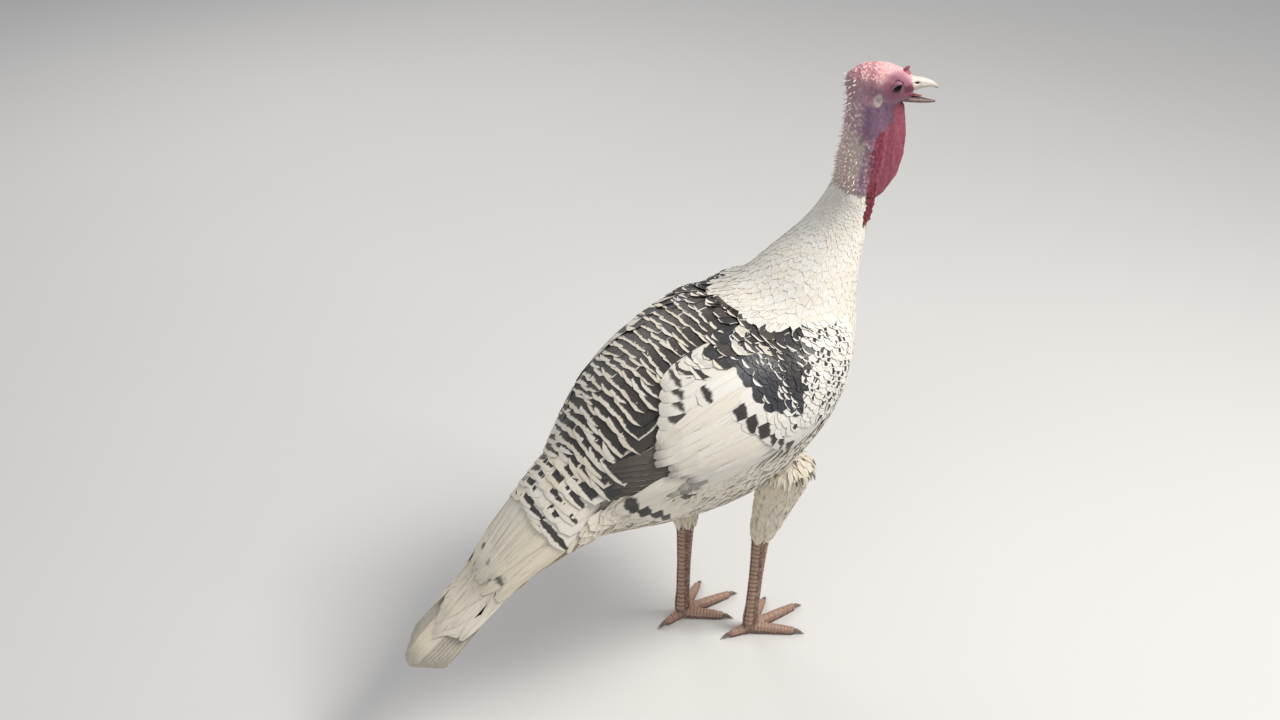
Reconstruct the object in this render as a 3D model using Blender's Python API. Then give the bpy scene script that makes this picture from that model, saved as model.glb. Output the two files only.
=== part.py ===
"""A young domestic tom turkey as a still, life-size display model.

The bird walks along +X with its right foot forward, and its head is turned to its right.
+Y is its left side, +Z is up, and the feet rest on z = 0. All lengths are in metres.

Every body part is a loft: rings set square to a centreline, each with a half width and a
dorsal and a ventral half depth. Neighbouring solids are parted by GAP, so none overlap.
"""

import math
from collections import namedtuple

import bmesh
import bpy
from mathutils import Matrix, Vector

# ---------------------------------------------------------------- driving dimensions

GAP = 0.0004  # clearance between neighbouring solids
SHIFT = Vector((0.1126, 0.0, 0.0))  # sets the middle of the whole bird over the origin
HEAD_TURN = math.radians(-36)  # the head looks to the bird's right
HEAD_CENTRE = Vector((0.178, -0.030, 0.785))
EYE_RADIUS = 0.0070
EYE_AHEAD = 0.018  # from the head's centre towards the bill
EYE_RISE = 0.0040
EYE_OUT = 0.0138  # from the middle plane of the head
HOCK_HEIGHT = 0.172
HOCK_OUT = 0.037  # each hock's distance from the middle plane
HOCK_X = {"left": -0.030, "right": 0.043}
KNEE_AHEAD = 0.014  # each knee's place from its hock
KNEE_OUT = 0.028
KNEE_HEIGHT = 0.305
SHANK_LEAN = {"left": -0.002, "right": -0.010}  # how far the foot is ahead of its hock
TOE_TURNS = {"middle": 2, "inner": 36, "outer": -36, "hind": 172}  # degrees towards the midline
TOE_LENGTHS = {"middle": 0.074, "inner": 0.054, "outer": 0.058, "hind": 0.026}
CLAW_LENGTH = 0.015
FLAT_SOLE = 1.4  # a toe's depth under its middle, over its height, before the floor flattens it

# ---------------------------------------------------------------- finishes

PLUMAGE_WHITE = ("plumage_white", (0.78, 0.74, 0.66), 0.85)
PLUMAGE_BARRED = ("plumage_barred", (0.30, 0.28, 0.26), 0.75)
BARE_SKIN = ("bare_skin", (0.56, 0.33, 0.38), 0.55)
WATTLE_SKIN = ("wattle_skin", (0.62, 0.12, 0.20), 0.50)
BILL_HORN = ("bill_horn", (0.72, 0.68, 0.62), 0.40)
MOUTH_SKIN = ("mouth_skin", (0.55, 0.16, 0.18), 0.40)
EYE_GLOSS = ("eye_gloss", (0.05, 0.03, 0.02), 0.05)
LEG_SCALE = ("leg_scale", (0.45, 0.28, 0.17), 0.60)
CLAW_HORN = ("claw_horn", (0.20, 0.15, 0.11), 0.45)


def material(finish):
    """The Principled material for a (name, colour, roughness) finish, made once."""
    name, colour, roughness = finish
    found = bpy.data.materials.get(name)
    if found:
        return found
    made = bpy.data.materials.new(name)
    made.use_nodes = True
    shader = made.node_tree.nodes["Principled BSDF"]
    shader.inputs["Base Color"].default_value = (*colour, 1.0)
    shader.inputs["Roughness"].default_value = roughness
    shader.inputs["Metallic"].default_value = 0.0
    return made


# ---------------------------------------------------------------- lofts

# One hand-placed section of a loft: its centre, half width, dorsal and ventral half depths,
# and its heading in radians.
Section = namedtuple("Section", "x y z wide dorsal ventral turn", defaults=(0.0,))

NOSE_STEPS = (0.92, 0.70, 0.36)  # where the rings of a rounded end stand, as shares of its length


def blended(sections, t):
    """The section at t, from 0 to 1 along the list, on a Catmull-Rom curve through them all."""
    last = len(sections) - 1
    place = min(max(t, 0.0), 1.0) * last
    index = min(int(place), last - 1)
    u = place - index
    four = [sections[min(max(index + step, 0), last)] for step in (-1, 0, 1, 2)]
    values = []
    for p, q, r, s in zip(*four):
        bend = 2 * p - 5 * q + 4 * r - s
        twist = 3 * q - p - 3 * r + s
        values.append(0.5 * (2 * q + (r - p) * u + bend * u * u + twist * u**3))
    return type(four[0])(*values)


def centre_of(section):
    return Vector((section.x, section.y, section.z))


def axes_at(sections, t):
    """(tangent, side, dorsal) unit directions of the loft at t."""
    step = 0.01
    low = blended(sections, max(t - step, 0.0))
    high = blended(sections, min(t + step, 1.0))
    tangent = (centre_of(high) - centre_of(low)).normalized()
    section = blended(sections, t)
    level = Vector((-math.sin(section.turn), math.cos(section.turn), 0.0))
    dorsal = tangent.cross(level).normalized()
    return tangent, dorsal.cross(tangent), dorsal


class Loft:
    """A tube through sections, which can be meshed whole, in lengths, or grown to cut its neighbours.

    droop bends a flat level section down at its sides, square below 1 fills the corners of the
    sections, and floor flattens what would hang below z = 0.
    """

    def __init__(self, sections, count, rings, droop=0.0, square=1.0, floor=False):
        self.sections, self.count, self.rings = sections, count, rings
        self.droop, self.square, self.floor = droop, square, floor

    def ring(self, t, scale, ahead, grow):
        section = blended(self.sections, t)
        tangent, side, dorsal = axes_at(self.sections, t)
        centre = centre_of(section) + tangent * ahead
        points = []
        for step in range(self.count):
            angle = 2 * math.pi * step / self.count
            across = math.copysign(abs(math.cos(angle)) ** self.square, math.cos(angle))
            up = math.copysign(abs(math.sin(angle)) ** self.square, math.sin(angle))
            depth = section.dorsal if up > 0 else section.ventral
            rise = up * (depth + grow) * scale
            reach = across * (section.wide + grow) * scale
            points.append(centre + side * reach + dorsal * (rise - self.droop * reach * reach))
        return points

    def mesh(self, start=0.0, end=1.0, first_nose=0.0, last_nose=0.0, grow=0.0):
        """A closed mesh of the stretch from start to end. A nose is a rounded end's length, 0 a flat end."""
        body = bmesh.new()
        rings = []
        if first_nose:
            for share in NOSE_STEPS:
                rings.append((start, math.sqrt(1 - share * share), -share * (first_nose + grow)))
        for index in range(self.rings):
            ahead = 0.0
            if index == 0 and not first_nose:
                ahead = GAP - grow
            if index == self.rings - 1 and not last_nose:
                ahead = grow
            rings.append((start + (end - start) * index / (self.rings - 1), 1.0, ahead))
        if last_nose:
            for share in reversed(NOSE_STEPS):
                rings.append((end, math.sqrt(1 - share * share), share * (last_nose + grow)))
        loops = [[body.verts.new(p) for p in self.ring(*ring, grow)] for ring in rings]
        for low, high in zip(loops, loops[1:]):
            for i in range(self.count):
                j = (i + 1) % self.count
                body.faces.new((low[i], low[j], high[j]))
                body.faces.new((low[i], high[j], high[i]))
        for loop, t, nose, sign in ((loops[0], start, first_nose, -1), (loops[-1], end, last_nose, 1)):
            tip = sum((v.co for v in loop), Vector()) / self.count
            if nose:
                tip = self.ring(t, 0.0, sign * (nose + grow), grow)[0]
            pole = body.verts.new(tip)
            for i in range(self.count):
                body.faces.new((loop[i], loop[(i + 1) % self.count], pole))
        if self.floor and not grow:
            for vertex in body.verts:
                vertex.co.z = max(vertex.co.z, 0.0)
        bmesh.ops.recalc_face_normals(body, faces=body.faces)
        made = bpy.data.meshes.new("loft")
        body.to_mesh(made)
        body.free()
        return made


def node(name, mesh, finish):
    """Adds the mesh to the scene as a named, smooth-shaded part."""
    mesh.name = name
    mesh.transform(Matrix.Translation(SHIFT))
    mesh.materials.append(material(finish))
    mesh.shade_smooth()
    part = bpy.data.objects.new(name, mesh)
    bpy.context.scene.collection.objects.link(part)
    return part


def cutter(name, mesh):
    """A hidden helper that other parts are cut by."""
    tool = node("cut_" + name, mesh, BARE_SKIN)
    tool.hide_render = True
    tool.display_type = "WIRE"
    return tool


def cut(part, *tools):
    """Takes each tool's shape out of the part."""
    for tool in tools:
        made = part.modifiers.new("less " + tool.name, "BOOLEAN")
        made.operation = "DIFFERENCE"
        made.solver = "EXACT"
        made.object = tool


# ---------------------------------------------------------------- trunk and neck

# From the vent, along the trunk and up the neck into the skull.
SPINE = [
    Section(-0.238, 0, 0.312, 0.052, 0.044, 0.046),
    Section(-0.195, 0, 0.336, 0.078, 0.064, 0.070),
    Section(-0.140, 0, 0.360, 0.102, 0.096, 0.104),
    Section(-0.070, 0, 0.386, 0.118, 0.120, 0.132),
    Section(0.000, 0, 0.408, 0.123, 0.125, 0.134),
    Section(0.060, 0, 0.438, 0.116, 0.118, 0.110),
    Section(0.098, 0, 0.482, 0.100, 0.094, 0.078),
    Section(0.124, -0.002, 0.535, 0.071, 0.062, 0.050),
    Section(0.146, -0.006, 0.580, 0.049, 0.043, 0.036, HEAD_TURN * 0.2),
    Section(0.160, -0.011, 0.622, 0.034, 0.032, 0.030, HEAD_TURN * 0.4),
    Section(0.168, -0.017, 0.662, 0.0275, 0.0265, 0.0260, HEAD_TURN * 0.6),
    Section(0.171, -0.022, 0.706, 0.0235, 0.0245, 0.0240, HEAD_TURN * 0.8),
    Section(0.170, -0.026, 0.768, 0.0190, 0.0220, 0.0200, HEAD_TURN),
]
NECK_BASE = 7.6 / (len(SPINE) - 1)  # where the trunk ends
BARE_NECK = 9.8 / (len(SPINE) - 1)  # where the feathers end and the bare skin starts


def spine_loft(rings, count):
    return Loft(SPINE, count, rings)


# ---------------------------------------------------------------- head


def on_head(ahead, rise, wide, dorsal, ventral):
    """A section placed by its distance ahead of the head's centre and its rise over it."""
    x = HEAD_CENTRE.x + ahead * math.cos(HEAD_TURN)
    y = HEAD_CENTRE.y + ahead * math.sin(HEAD_TURN)
    return Section(x, y, HEAD_CENTRE.z + rise, wide, dorsal, ventral, HEAD_TURN)


SKULL = Loft(
    [
        on_head(-0.030, 0.000, 0.0135, 0.0180, 0.0160),
        on_head(-0.018, 0.001, 0.0180, 0.0235, 0.0220),
        on_head(-0.002, 0.001, 0.0200, 0.0255, 0.0240),
        on_head(0.014, 0.000, 0.0190, 0.0230, 0.0225),
        on_head(0.028, -0.002, 0.0150, 0.0165, 0.0175),
        on_head(0.036, -0.004, 0.0110, 0.0120, 0.0125),
    ],
    16, 7,
)
UPPER_BILL = Loft(
    [
        on_head(0.028, 0.000, 0.0105, 0.0110, 0.0085),
        on_head(0.040, 0.0025, 0.0085, 0.0085, 0.0068),
        on_head(0.052, 0.0035, 0.0058, 0.0055, 0.0045),
        on_head(0.0605, 0.0020, 0.0030, 0.0030, 0.0030),
        on_head(0.0655, -0.0010, 0.0012, 0.0012, 0.0016),
    ],
    10, 6,
)
LOWER_BILL = Loft(
    [
        on_head(0.026, -0.0145, 0.0088, 0.0036, 0.0046),
        on_head(0.040, -0.0160, 0.0068, 0.0030, 0.0040),
        on_head(0.053, -0.0175, 0.0042, 0.0022, 0.0028),
        on_head(0.0635, -0.0180, 0.0012, 0.0010, 0.0014),
    ],
    8, 5,
)
TONGUE = Loft(
    [
        on_head(0.024, -0.0088, 0.0050, 0.0014, 0.0014),
        on_head(0.036, -0.0105, 0.0040, 0.0012, 0.0012),
        on_head(0.048, -0.0122, 0.0014, 0.0008, 0.0008),
    ],
    6, 4,
)
SNOOD = Loft(
    [
        on_head(0.0265, 0.0120, 0.0052, 0.0052, 0.0052),
        on_head(0.0290, 0.0180, 0.0042, 0.0042, 0.0042),
        on_head(0.0312, 0.0222, 0.0030, 0.0030, 0.0030),
        on_head(0.0335, 0.0250, 0.0017, 0.0017, 0.0017),
    ],
    8, 4,
)
# A thin curtain of skin from the chin down the front of the neck, listed from its foot up.
DEWLAP = Loft(
    [
        on_head(-0.034, -0.186, 0.0045, 0.0045, 0.0050),
        on_head(-0.026, -0.160, 0.0065, 0.0080, 0.0105),
        on_head(-0.014, -0.134, 0.0080, 0.0150, 0.0270),
        on_head(-0.006, -0.104, 0.0090, 0.0180, 0.0380),
        on_head(-0.001, -0.072, 0.0090, 0.0180, 0.0380),
        on_head(0.004, -0.042, 0.0090, 0.0160, 0.0320),
        on_head(0.010, -0.020, 0.0095, 0.0120, 0.0210),
    ],
    10, 9,
)


def eye_at(side):
    """The centre of the eye on the side, 1 for left and -1 for right."""
    ahead = Vector((math.cos(HEAD_TURN), math.sin(HEAD_TURN), 0.0))
    left = Vector((-math.sin(HEAD_TURN), math.cos(HEAD_TURN), 0.0))
    return HEAD_CENTRE + ahead * EYE_AHEAD + left * EYE_OUT * side + Vector((0, 0, EYE_RISE))


def ball(centre, radius):
    body = bmesh.new()
    bmesh.ops.create_uvsphere(body, u_segments=12, v_segments=6, radius=radius)
    bmesh.ops.translate(body, verts=body.verts, vec=centre)
    made = bpy.data.meshes.new("ball")
    body.to_mesh(made)
    body.free()
    return made


def build_head_and_neck():
    bills = {"bill_upper": UPPER_BILL, "bill_lower": LOWER_BILL}
    tools = []
    for name, loft in bills.items():
        node(name, loft.mesh(first_nose=0.003, last_nose=0.001), BILL_HORN)
        tools.append(cutter(name, loft.mesh(first_nose=0.003, last_nose=0.001, grow=GAP)))
    node("tongue", TONGUE.mesh(first_nose=0.002, last_nose=0.001), MOUTH_SKIN)
    tools.append(cutter("tongue", TONGUE.mesh(first_nose=0.002, last_nose=0.001, grow=GAP)))
    snood = node("snood", SNOOD.mesh(first_nose=0.002, last_nose=0.002), WATTLE_SKIN)
    cut(snood, tools[0])
    tools.append(cutter("snood", SNOOD.mesh(first_nose=0.002, last_nose=0.002, grow=GAP)))
    for name, side in (("left", 1), ("right", -1)):
        node("eye_" + name, ball(eye_at(side), EYE_RADIUS), EYE_GLOSS)
        tools.append(cutter("eye_" + name, ball(eye_at(side), EYE_RADIUS + GAP)))
    dewlap = node("dewlap", DEWLAP.mesh(first_nose=0.006, last_nose=0.006), WATTLE_SKIN)
    cut(dewlap, tools[1], tools[2])
    curtain = cutter("dewlap", DEWLAP.mesh(first_nose=0.006, last_nose=0.006, grow=GAP))
    skull = cutter("head", SKULL.mesh(first_nose=0.009, last_nose=0.002, grow=GAP))
    head = node("head", SKULL.mesh(first_nose=0.009, last_nose=0.002), BARE_SKIN)
    cut(head, *tools, curtain)
    upper = node("neck_upper", spine_loft(6, 16).mesh(start=BARE_NECK), BARE_SKIN)
    cut(upper, skull, curtain)
    lower = node("neck_lower", spine_loft(5, 16).mesh(start=NECK_BASE, end=BARE_NECK), PLUMAGE_WHITE)
    cut(lower, curtain)


# ---------------------------------------------------------------- tail

# From the tips of the tail feathers to their roots.
TAIL = Loft(
    [
        Section(-0.452, 0, 0.160, 0.042, 0.0035, 0.0040),
        Section(-0.400, 0, 0.203, 0.045, 0.0055, 0.0060),
        Section(-0.344, 0, 0.249, 0.047, 0.0080, 0.0080),
        Section(-0.282, 0, 0.300, 0.045, 0.0100, 0.0100),
        Section(-0.215, 0, 0.346, 0.036, 0.0110, 0.0110),
    ],
    16, 6, droop=3.0, square=0.8,
)
# The long coverts over and under the roots of the tail.
TAIL_COVERTS = Loft(
    [
        Section(-0.335, 0, 0.258, 0.047, 0.0140, 0.0110),
        Section(-0.292, 0, 0.290, 0.058, 0.0250, 0.0200),
        Section(-0.245, 0, 0.320, 0.070, 0.0400, 0.0320),
        Section(-0.195, 0, 0.342, 0.079, 0.0590, 0.0450),
        Section(-0.150, 0, 0.356, 0.080, 0.0670, 0.0500),
    ],
    16, 6, droop=1.2,
)

# ---------------------------------------------------------------- wings

# One section of a folded wing: its place along the spine's sections, its lower and upper edges
# in degrees up from the side of the trunk, and its half thickness.
Arc = namedtuple("Arc", "place low high thick")

# The folded wing from its tip to its bend.
WING = [
    Arc(0.95, 24, 36, 0.0035),
    Arc(1.50, 12, 46, 0.0055),
    Arc(2.20, 3, 56, 0.0075),
    Arc(3.20, -4, 64, 0.0095),
    Arc(4.20, -11, 64, 0.0105),
    Arc(5.00, -16, 58, 0.0110),
    Arc(5.70, -16, 48, 0.0110),
    Arc(6.20, -10, 34, 0.0095),
]
# Each length of the wing, by its first and last ring. The whole wing has WING_RINGS of them.
WING_LENGTHS = {"primaries": (0, 3), "secondaries": (3, 7), "coverts": (7, 11)}
WING_RINGS = 12
WING_NOSES = (0.012, 0.010)  # rounded ends at the tip and the bend
WING_LIFT = 0.004  # the middle of the wing's thickness over the trunk


class Shell(Loft):
    """A plate lying on the trunk, so each of its rings follows an arc of the trunk's section."""

    def __init__(self, arcs, count, rings, sign):
        super().__init__(arcs, count, rings)
        self.sign = sign

    def ring(self, t, scale, ahead, grow):
        arc = blended(self.sections, t)
        place = arc.place / (len(SPINE) - 1)
        section = blended(SPINE, place)
        tangent, side, dorsal = axes_at(SPINE, place)
        centre = centre_of(section) + tangent * ahead
        middle = math.radians(arc.high + arc.low) / 2
        half = math.radians(arc.high - arc.low) / 2 + grow / section.wide
        points = []
        for step in range(self.count):
            turn = 2 * math.pi * step / self.count
            angle = middle + half * scale * math.cos(turn)
            rise = math.copysign(abs(math.sin(turn)) ** 0.7, math.sin(turn))
            over = WING_LIFT + (arc.thick + grow) * scale * rise
            depth = section.dorsal if math.sin(angle) > 0 else section.ventral
            point = centre + side * (section.wide + over) * math.cos(angle)
            point += dorsal * (depth + over) * math.sin(angle)
            points.append(Vector((point.x, point.y * self.sign, point.z)))
        return points


def build_wings():
    """Each wing in three lengths, and a tool with the whole wing's shape for each side."""
    tools = []
    for side, sign in (("left", 1), ("right", -1)):
        for part, (first, last) in WING_LENGTHS.items():
            length = Shell(WING, 16, last - first + 1, sign)
            mesh = length.mesh(
                first / (WING_RINGS - 1),
                last / (WING_RINGS - 1),
                first_nose=WING_NOSES[0] if first == 0 else 0.0,
                last_nose=WING_NOSES[1] if last == WING_RINGS - 1 else 0.0,
            )
            finish = PLUMAGE_BARRED if part == "coverts" else PLUMAGE_WHITE
            node(f"wing_{side}_{part}", mesh, finish)
        whole = Shell(WING, 16, WING_RINGS, sign)
        shape = whole.mesh(first_nose=WING_NOSES[0], last_nose=WING_NOSES[1], grow=GAP)
        tools.append(cutter("wing_" + side, shape))
    return tools


# ---------------------------------------------------------------- legs


def leg_sides():
    """(side name, its sign along Y, the hock's place and the foot's place) for each leg."""
    for side, sign in (("left", 1), ("right", -1)):
        hock = Vector((HOCK_X[side], sign * HOCK_OUT, HOCK_HEIGHT))
        foot = Vector((hock.x + SHANK_LEAN[side], hock.y, 0.0))
        yield side, sign, hock, foot


def thigh_loft(hock, sign):
    """The feathered drumstick, from the hock up to the knee inside the flank."""
    knee = Vector((hock.x + KNEE_AHEAD, sign * (HOCK_OUT + KNEE_OUT), KNEE_HEIGHT))
    sizes = (
        (0.0, 0.0145, 0.0160),
        (0.22, 0.0190, 0.0210),
        (0.5, 0.0240, 0.0275),
        (0.8, 0.0300, 0.0360),
        (1.0, 0.0320, 0.0400),
    )
    sections = []
    for share, wide, deep in sizes:
        at = hock.lerp(knee, share)
        sections.append(Section(at.x, at.y, at.z, wide, deep, deep))
    return Loft(sections, 12, 5)


def shank_loft(hock, foot):
    """The scaly shank, from the sole up to the hock joint."""
    sizes = (
        (0.008, 0.0105, 0.0100),
        (0.022, 0.0108, 0.0115),
        (0.050, 0.0082, 0.0100),
        (0.100, 0.0080, 0.0102),
        (0.150, 0.0098, 0.0118),
        (0.170, 0.0118, 0.0135),
    )
    sections = []
    for height, wide, deep in sizes:
        at = foot.lerp(hock, height / HOCK_HEIGHT)
        sections.append(Section(at.x, at.y, at.z, wide, deep, deep))
    return Loft(sections, 8, 6, floor=True)


def toe_lofts(foot, sign, toe):
    """(toe, claw) lofts. A toe lies on the floor, and its claw curves down to it."""
    turn = math.radians(TOE_TURNS[toe]) * -sign
    ahead = Vector((math.cos(turn), math.sin(turn), 0.0))
    length = TOE_LENGTHS[toe]
    thick = 0.85 if toe == "hind" else 1.0
    sections = []
    for share, wide, height in ((0.0, 0.0080, 0.0085), (0.35, 0.0068, 0.0072), (0.7, 0.0060, 0.0062),
                                (1.0, 0.0046, 0.0050)):
        at = foot + ahead * (0.004 + length * share)
        high = height * thick
        sections.append(Section(at.x, at.y, high, wide * thick, high, high * FLAT_SOLE, turn))
    claw = []
    for share, wide, rise in ((0.0, 0.0034, 0.0050), (0.4, 0.0028, 0.0050), (1.0, 0.0009, 0.0006)):
        at = foot + ahead * (0.003 + length + CLAW_LENGTH * share)
        claw.append(Section(at.x, at.y, rise, wide, wide * 1.1, wide * 1.1, turn))
    return Loft(sections, 8, 4, square=0.85, floor=True), Loft(claw, 6, 3, floor=True)


def build_legs(wing_tools):
    """Thighs, shanks, toes and claws, and a tool with each thigh's shape."""
    thigh_tools = []
    for side, sign, hock, foot in leg_sides():
        thigh = thigh_loft(hock, sign)
        thigh_mesh = {"first_nose": 0.010, "last_nose": 0.020}
        thigh_tools.append(cutter("thigh_" + side, thigh.mesh(**thigh_mesh, grow=GAP)))
        cut(node("thigh_" + side, thigh.mesh(**thigh_mesh), PLUMAGE_WHITE), *wing_tools)
        shank = node("shank_" + side, shank_loft(hock, foot).mesh(last_nose=0.006), LEG_SCALE)
        cut(shank, thigh_tools[-1])
        earlier = []
        for toe in ("middle", "inner", "outer", "hind"):
            loft, claw = toe_lofts(foot, sign, toe)
            made = node(f"toe_{toe}_{side}", loft.mesh(first_nose=0.006), LEG_SCALE)
            tool = cutter(f"toe_{toe}_{side}", loft.mesh(first_nose=0.006, grow=GAP))
            cut(made, *earlier)
            cut(shank, tool)
            earlier.append(tool)
            cut(node(f"claw_{toe}_{side}", claw.mesh(last_nose=0.0012), CLAW_HORN), tool)
    return thigh_tools


def build():
    for old in list(bpy.data.objects):
        bpy.data.objects.remove(old)
    build_head_and_neck()
    wing_tools = build_wings()
    thigh_tools = build_legs(wing_tools)
    tail_shape = {"first_nose": 0.006, "last_nose": 0.010}
    coverts_shape = {"first_nose": 0.012, "last_nose": 0.010}
    node("tail", TAIL.mesh(**tail_shape), PLUMAGE_WHITE)
    tail_tool = cutter("tail", TAIL.mesh(**tail_shape, grow=GAP))
    coverts_tool = cutter("tail_coverts", TAIL_COVERTS.mesh(**coverts_shape, grow=GAP))
    coverts = node("tail_coverts", TAIL_COVERTS.mesh(**coverts_shape), PLUMAGE_BARRED)
    cut(coverts, tail_tool, *wing_tools)
    trunk = node("trunk", spine_loft(16, 20).mesh(end=NECK_BASE, first_nose=0.020), PLUMAGE_WHITE)
    cut(trunk, coverts_tool, tail_tool, *wing_tools, *thigh_tools)


build()
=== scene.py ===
# %% [markdown]
# # A domestic turkey, feather by feather
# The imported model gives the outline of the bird. This script dresses it: a bare skin inside the
# outline, and some thousands of feathers laid over the skin like slates on a roof. Everything is
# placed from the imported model, so nothing has to be fitted afterwards.

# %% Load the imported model
import math

import bmesh
import bpy
import numpy as np
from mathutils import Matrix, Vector, noise
from mathutils.bvhtree import BVHTree
from mathutils.kdtree import KDTree


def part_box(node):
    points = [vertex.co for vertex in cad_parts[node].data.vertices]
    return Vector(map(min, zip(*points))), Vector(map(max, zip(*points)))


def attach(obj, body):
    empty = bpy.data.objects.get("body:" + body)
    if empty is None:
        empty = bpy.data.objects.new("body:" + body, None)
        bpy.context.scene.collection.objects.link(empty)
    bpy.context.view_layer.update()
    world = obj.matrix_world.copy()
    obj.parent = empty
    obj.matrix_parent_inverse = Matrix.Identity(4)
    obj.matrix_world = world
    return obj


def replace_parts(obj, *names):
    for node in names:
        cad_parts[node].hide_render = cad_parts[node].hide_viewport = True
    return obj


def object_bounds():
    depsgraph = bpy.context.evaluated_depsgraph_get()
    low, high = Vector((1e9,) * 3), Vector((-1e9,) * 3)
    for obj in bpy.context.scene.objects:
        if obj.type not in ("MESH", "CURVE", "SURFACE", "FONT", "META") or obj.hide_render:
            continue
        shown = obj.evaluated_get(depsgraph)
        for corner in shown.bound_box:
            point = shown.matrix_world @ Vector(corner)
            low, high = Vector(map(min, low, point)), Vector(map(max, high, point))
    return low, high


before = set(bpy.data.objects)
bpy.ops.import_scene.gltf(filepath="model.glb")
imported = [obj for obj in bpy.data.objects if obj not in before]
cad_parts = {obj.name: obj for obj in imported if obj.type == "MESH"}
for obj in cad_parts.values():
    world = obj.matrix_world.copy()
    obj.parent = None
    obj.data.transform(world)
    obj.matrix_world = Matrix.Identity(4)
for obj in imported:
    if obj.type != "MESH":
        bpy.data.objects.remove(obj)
CAD_LOW, CAD_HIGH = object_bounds()
CHANCE = np.random.default_rng(11)
MM = 0.001
SIDES = {"left": 1, "right": -1}
print("nodes", len(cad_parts), "box", [round(x, 3) for x in (*CAD_LOW, *CAD_HIGH)])

# %% [markdown]
# ## Camera, floor and light
# The camera stands a little higher than a person's eye would, and looks down on the bird from
# behind its right wing. Its direction is two angles, which can be read off a protractor.

# %% Camera
AZIMUTH, ELEVATION = math.radians(-31), math.radians(34)
DISTANCE, LENS, SENSOR = 1.83, 39.375, 36.0
OFF_CENTRE = Vector((0.063, 0.124, -0.011))


def in_scene(name, data):
    """A new object in the scene."""
    made = bpy.data.objects.new(name, data)
    bpy.context.scene.collection.objects.link(made)
    return made


back = Vector((
    math.sin(AZIMUTH) * math.cos(ELEVATION),
    -math.cos(AZIMUTH) * math.cos(ELEVATION),
    math.sin(ELEVATION),
))
camera = in_scene("camera", bpy.data.cameras.new("camera"))
camera.location = (CAD_LOW + CAD_HIGH) / 2 + OFF_CENTRE + back * DISTANCE
camera.rotation_euler = (-back).to_track_quat("-Z", "Y").to_euler()
camera.data.sensor_width = SENSOR
camera.data.lens = LENS
bpy.context.scene.camera = camera
print("camera at", [round(x, 3) for x in camera.location])

# %% [markdown]
# The light of a studio comes from large panels, whose shadows have soft edges. A warm key panel
# models the bird, a wide cool one fills its shadows, and a third draws a rim along its back. Small
# lamps would be quicker to render, but every feather's edge would throw a hard black line.

# %% Lights and world
BIRD_MIDDLE = Vector((0, 0, 0.35))


def panel(name, spot, size, power, tint):
    """A square lamp at a spot, turned to the middle of the bird."""
    lamp = bpy.data.lights.new(name, "AREA")
    lamp.size = size
    lamp.energy = power
    lamp.color = tint
    made = in_scene(name, lamp)
    made.location = spot
    made.rotation_euler = (BIRD_MIDDLE - made.location).to_track_quat("-Z", "Y").to_euler()


panel("key", Vector((1.1, -0.9, 2.3)), 0.8, 55.0, (1.0, 0.97, 0.92))
panel("fill", Vector((-2.2, -1.2, 1.4)), 2.0, 12.0, (0.94, 0.97, 1.0))
panel("rim", Vector((0.2, 2.2, 1.8)), 1.6, 16.0, (1.0, 0.98, 0.95))
world = bpy.data.worlds.new("studio")
world.use_nodes = True
background = world.node_tree.nodes["Background"].inputs
background["Color"].default_value = (0.92, 0.94, 1.0, 1.0)
background["Strength"].default_value = 0.42
bpy.context.scene.world = world
bpy.context.scene.view_settings.view_transform = "Standard"

# %% [markdown]
# ## Writing materials as sums
# A material is a graph of nodes, but its logic is arithmetic: this mask times that colour. The
# class below wraps a socket, so that `1 - mask` or `a * b` adds the Math nodes by itself. All other
# nodes come from one method, which sets the node up first and then feeds its sockets.

# %% A socket that does sums


class Flow:
    """A value on its way through one material's nodes."""

    def __init__(self, tree, socket):
        self.tree, self.socket = tree, socket

    def add(self, kind, settings=None, inputs=None, output=0):
        """A new node of that kind: its settings, then the values or links of its sockets."""
        made = self.tree.nodes.new(kind)
        for name, value in (settings or {}).items():
            setattr(made, name, value)
        for name, value in (inputs or {}).items():
            if isinstance(value, Flow):
                self.tree.links.new(value.socket, made.inputs[name])
            else:
                made.inputs[name].default_value = value
        return Flow(self.tree, made.outputs[output])

    def math(self, operation, *others):
        return self.add("ShaderNodeMath", {"operation": operation}, dict(enumerate((self, *others))))

    def __add__(self, other):
        return self.math("ADD", other)

    def __sub__(self, other):
        return self.math("SUBTRACT", other)

    def __rsub__(self, other):
        return self.add("ShaderNodeMath", {"operation": "SUBTRACT"}, {0: other, 1: self})

    def __mul__(self, other):
        return self.math("MULTIPLY", other)

    __radd__ = __add__
    __rmul__ = __mul__

    def step(self, low, high):
        """0 below low, 1 above high, and a smooth climb between."""
        settings = {"interpolation_type": "SMOOTHSTEP"}
        return self.add("ShaderNodeMapRange", settings, {"Value": self, 1: low, 2: high})

    def mix(self, first, second):
        """The first colour where this mask is 0, the second where it is 1."""
        return self.add("ShaderNodeMix", {"data_type": "RGBA"}, {0: self, 6: first, 7: second}, 2)


def rgb(red, green, blue):
    return (red, green, blue, 1.0)


def layered(colour, *layers):
    """A colour with (mask, paint) layers laid over it in turn."""
    for mask, paint in layers:
        colour = mask.mix(colour, paint)
    return colour


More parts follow.
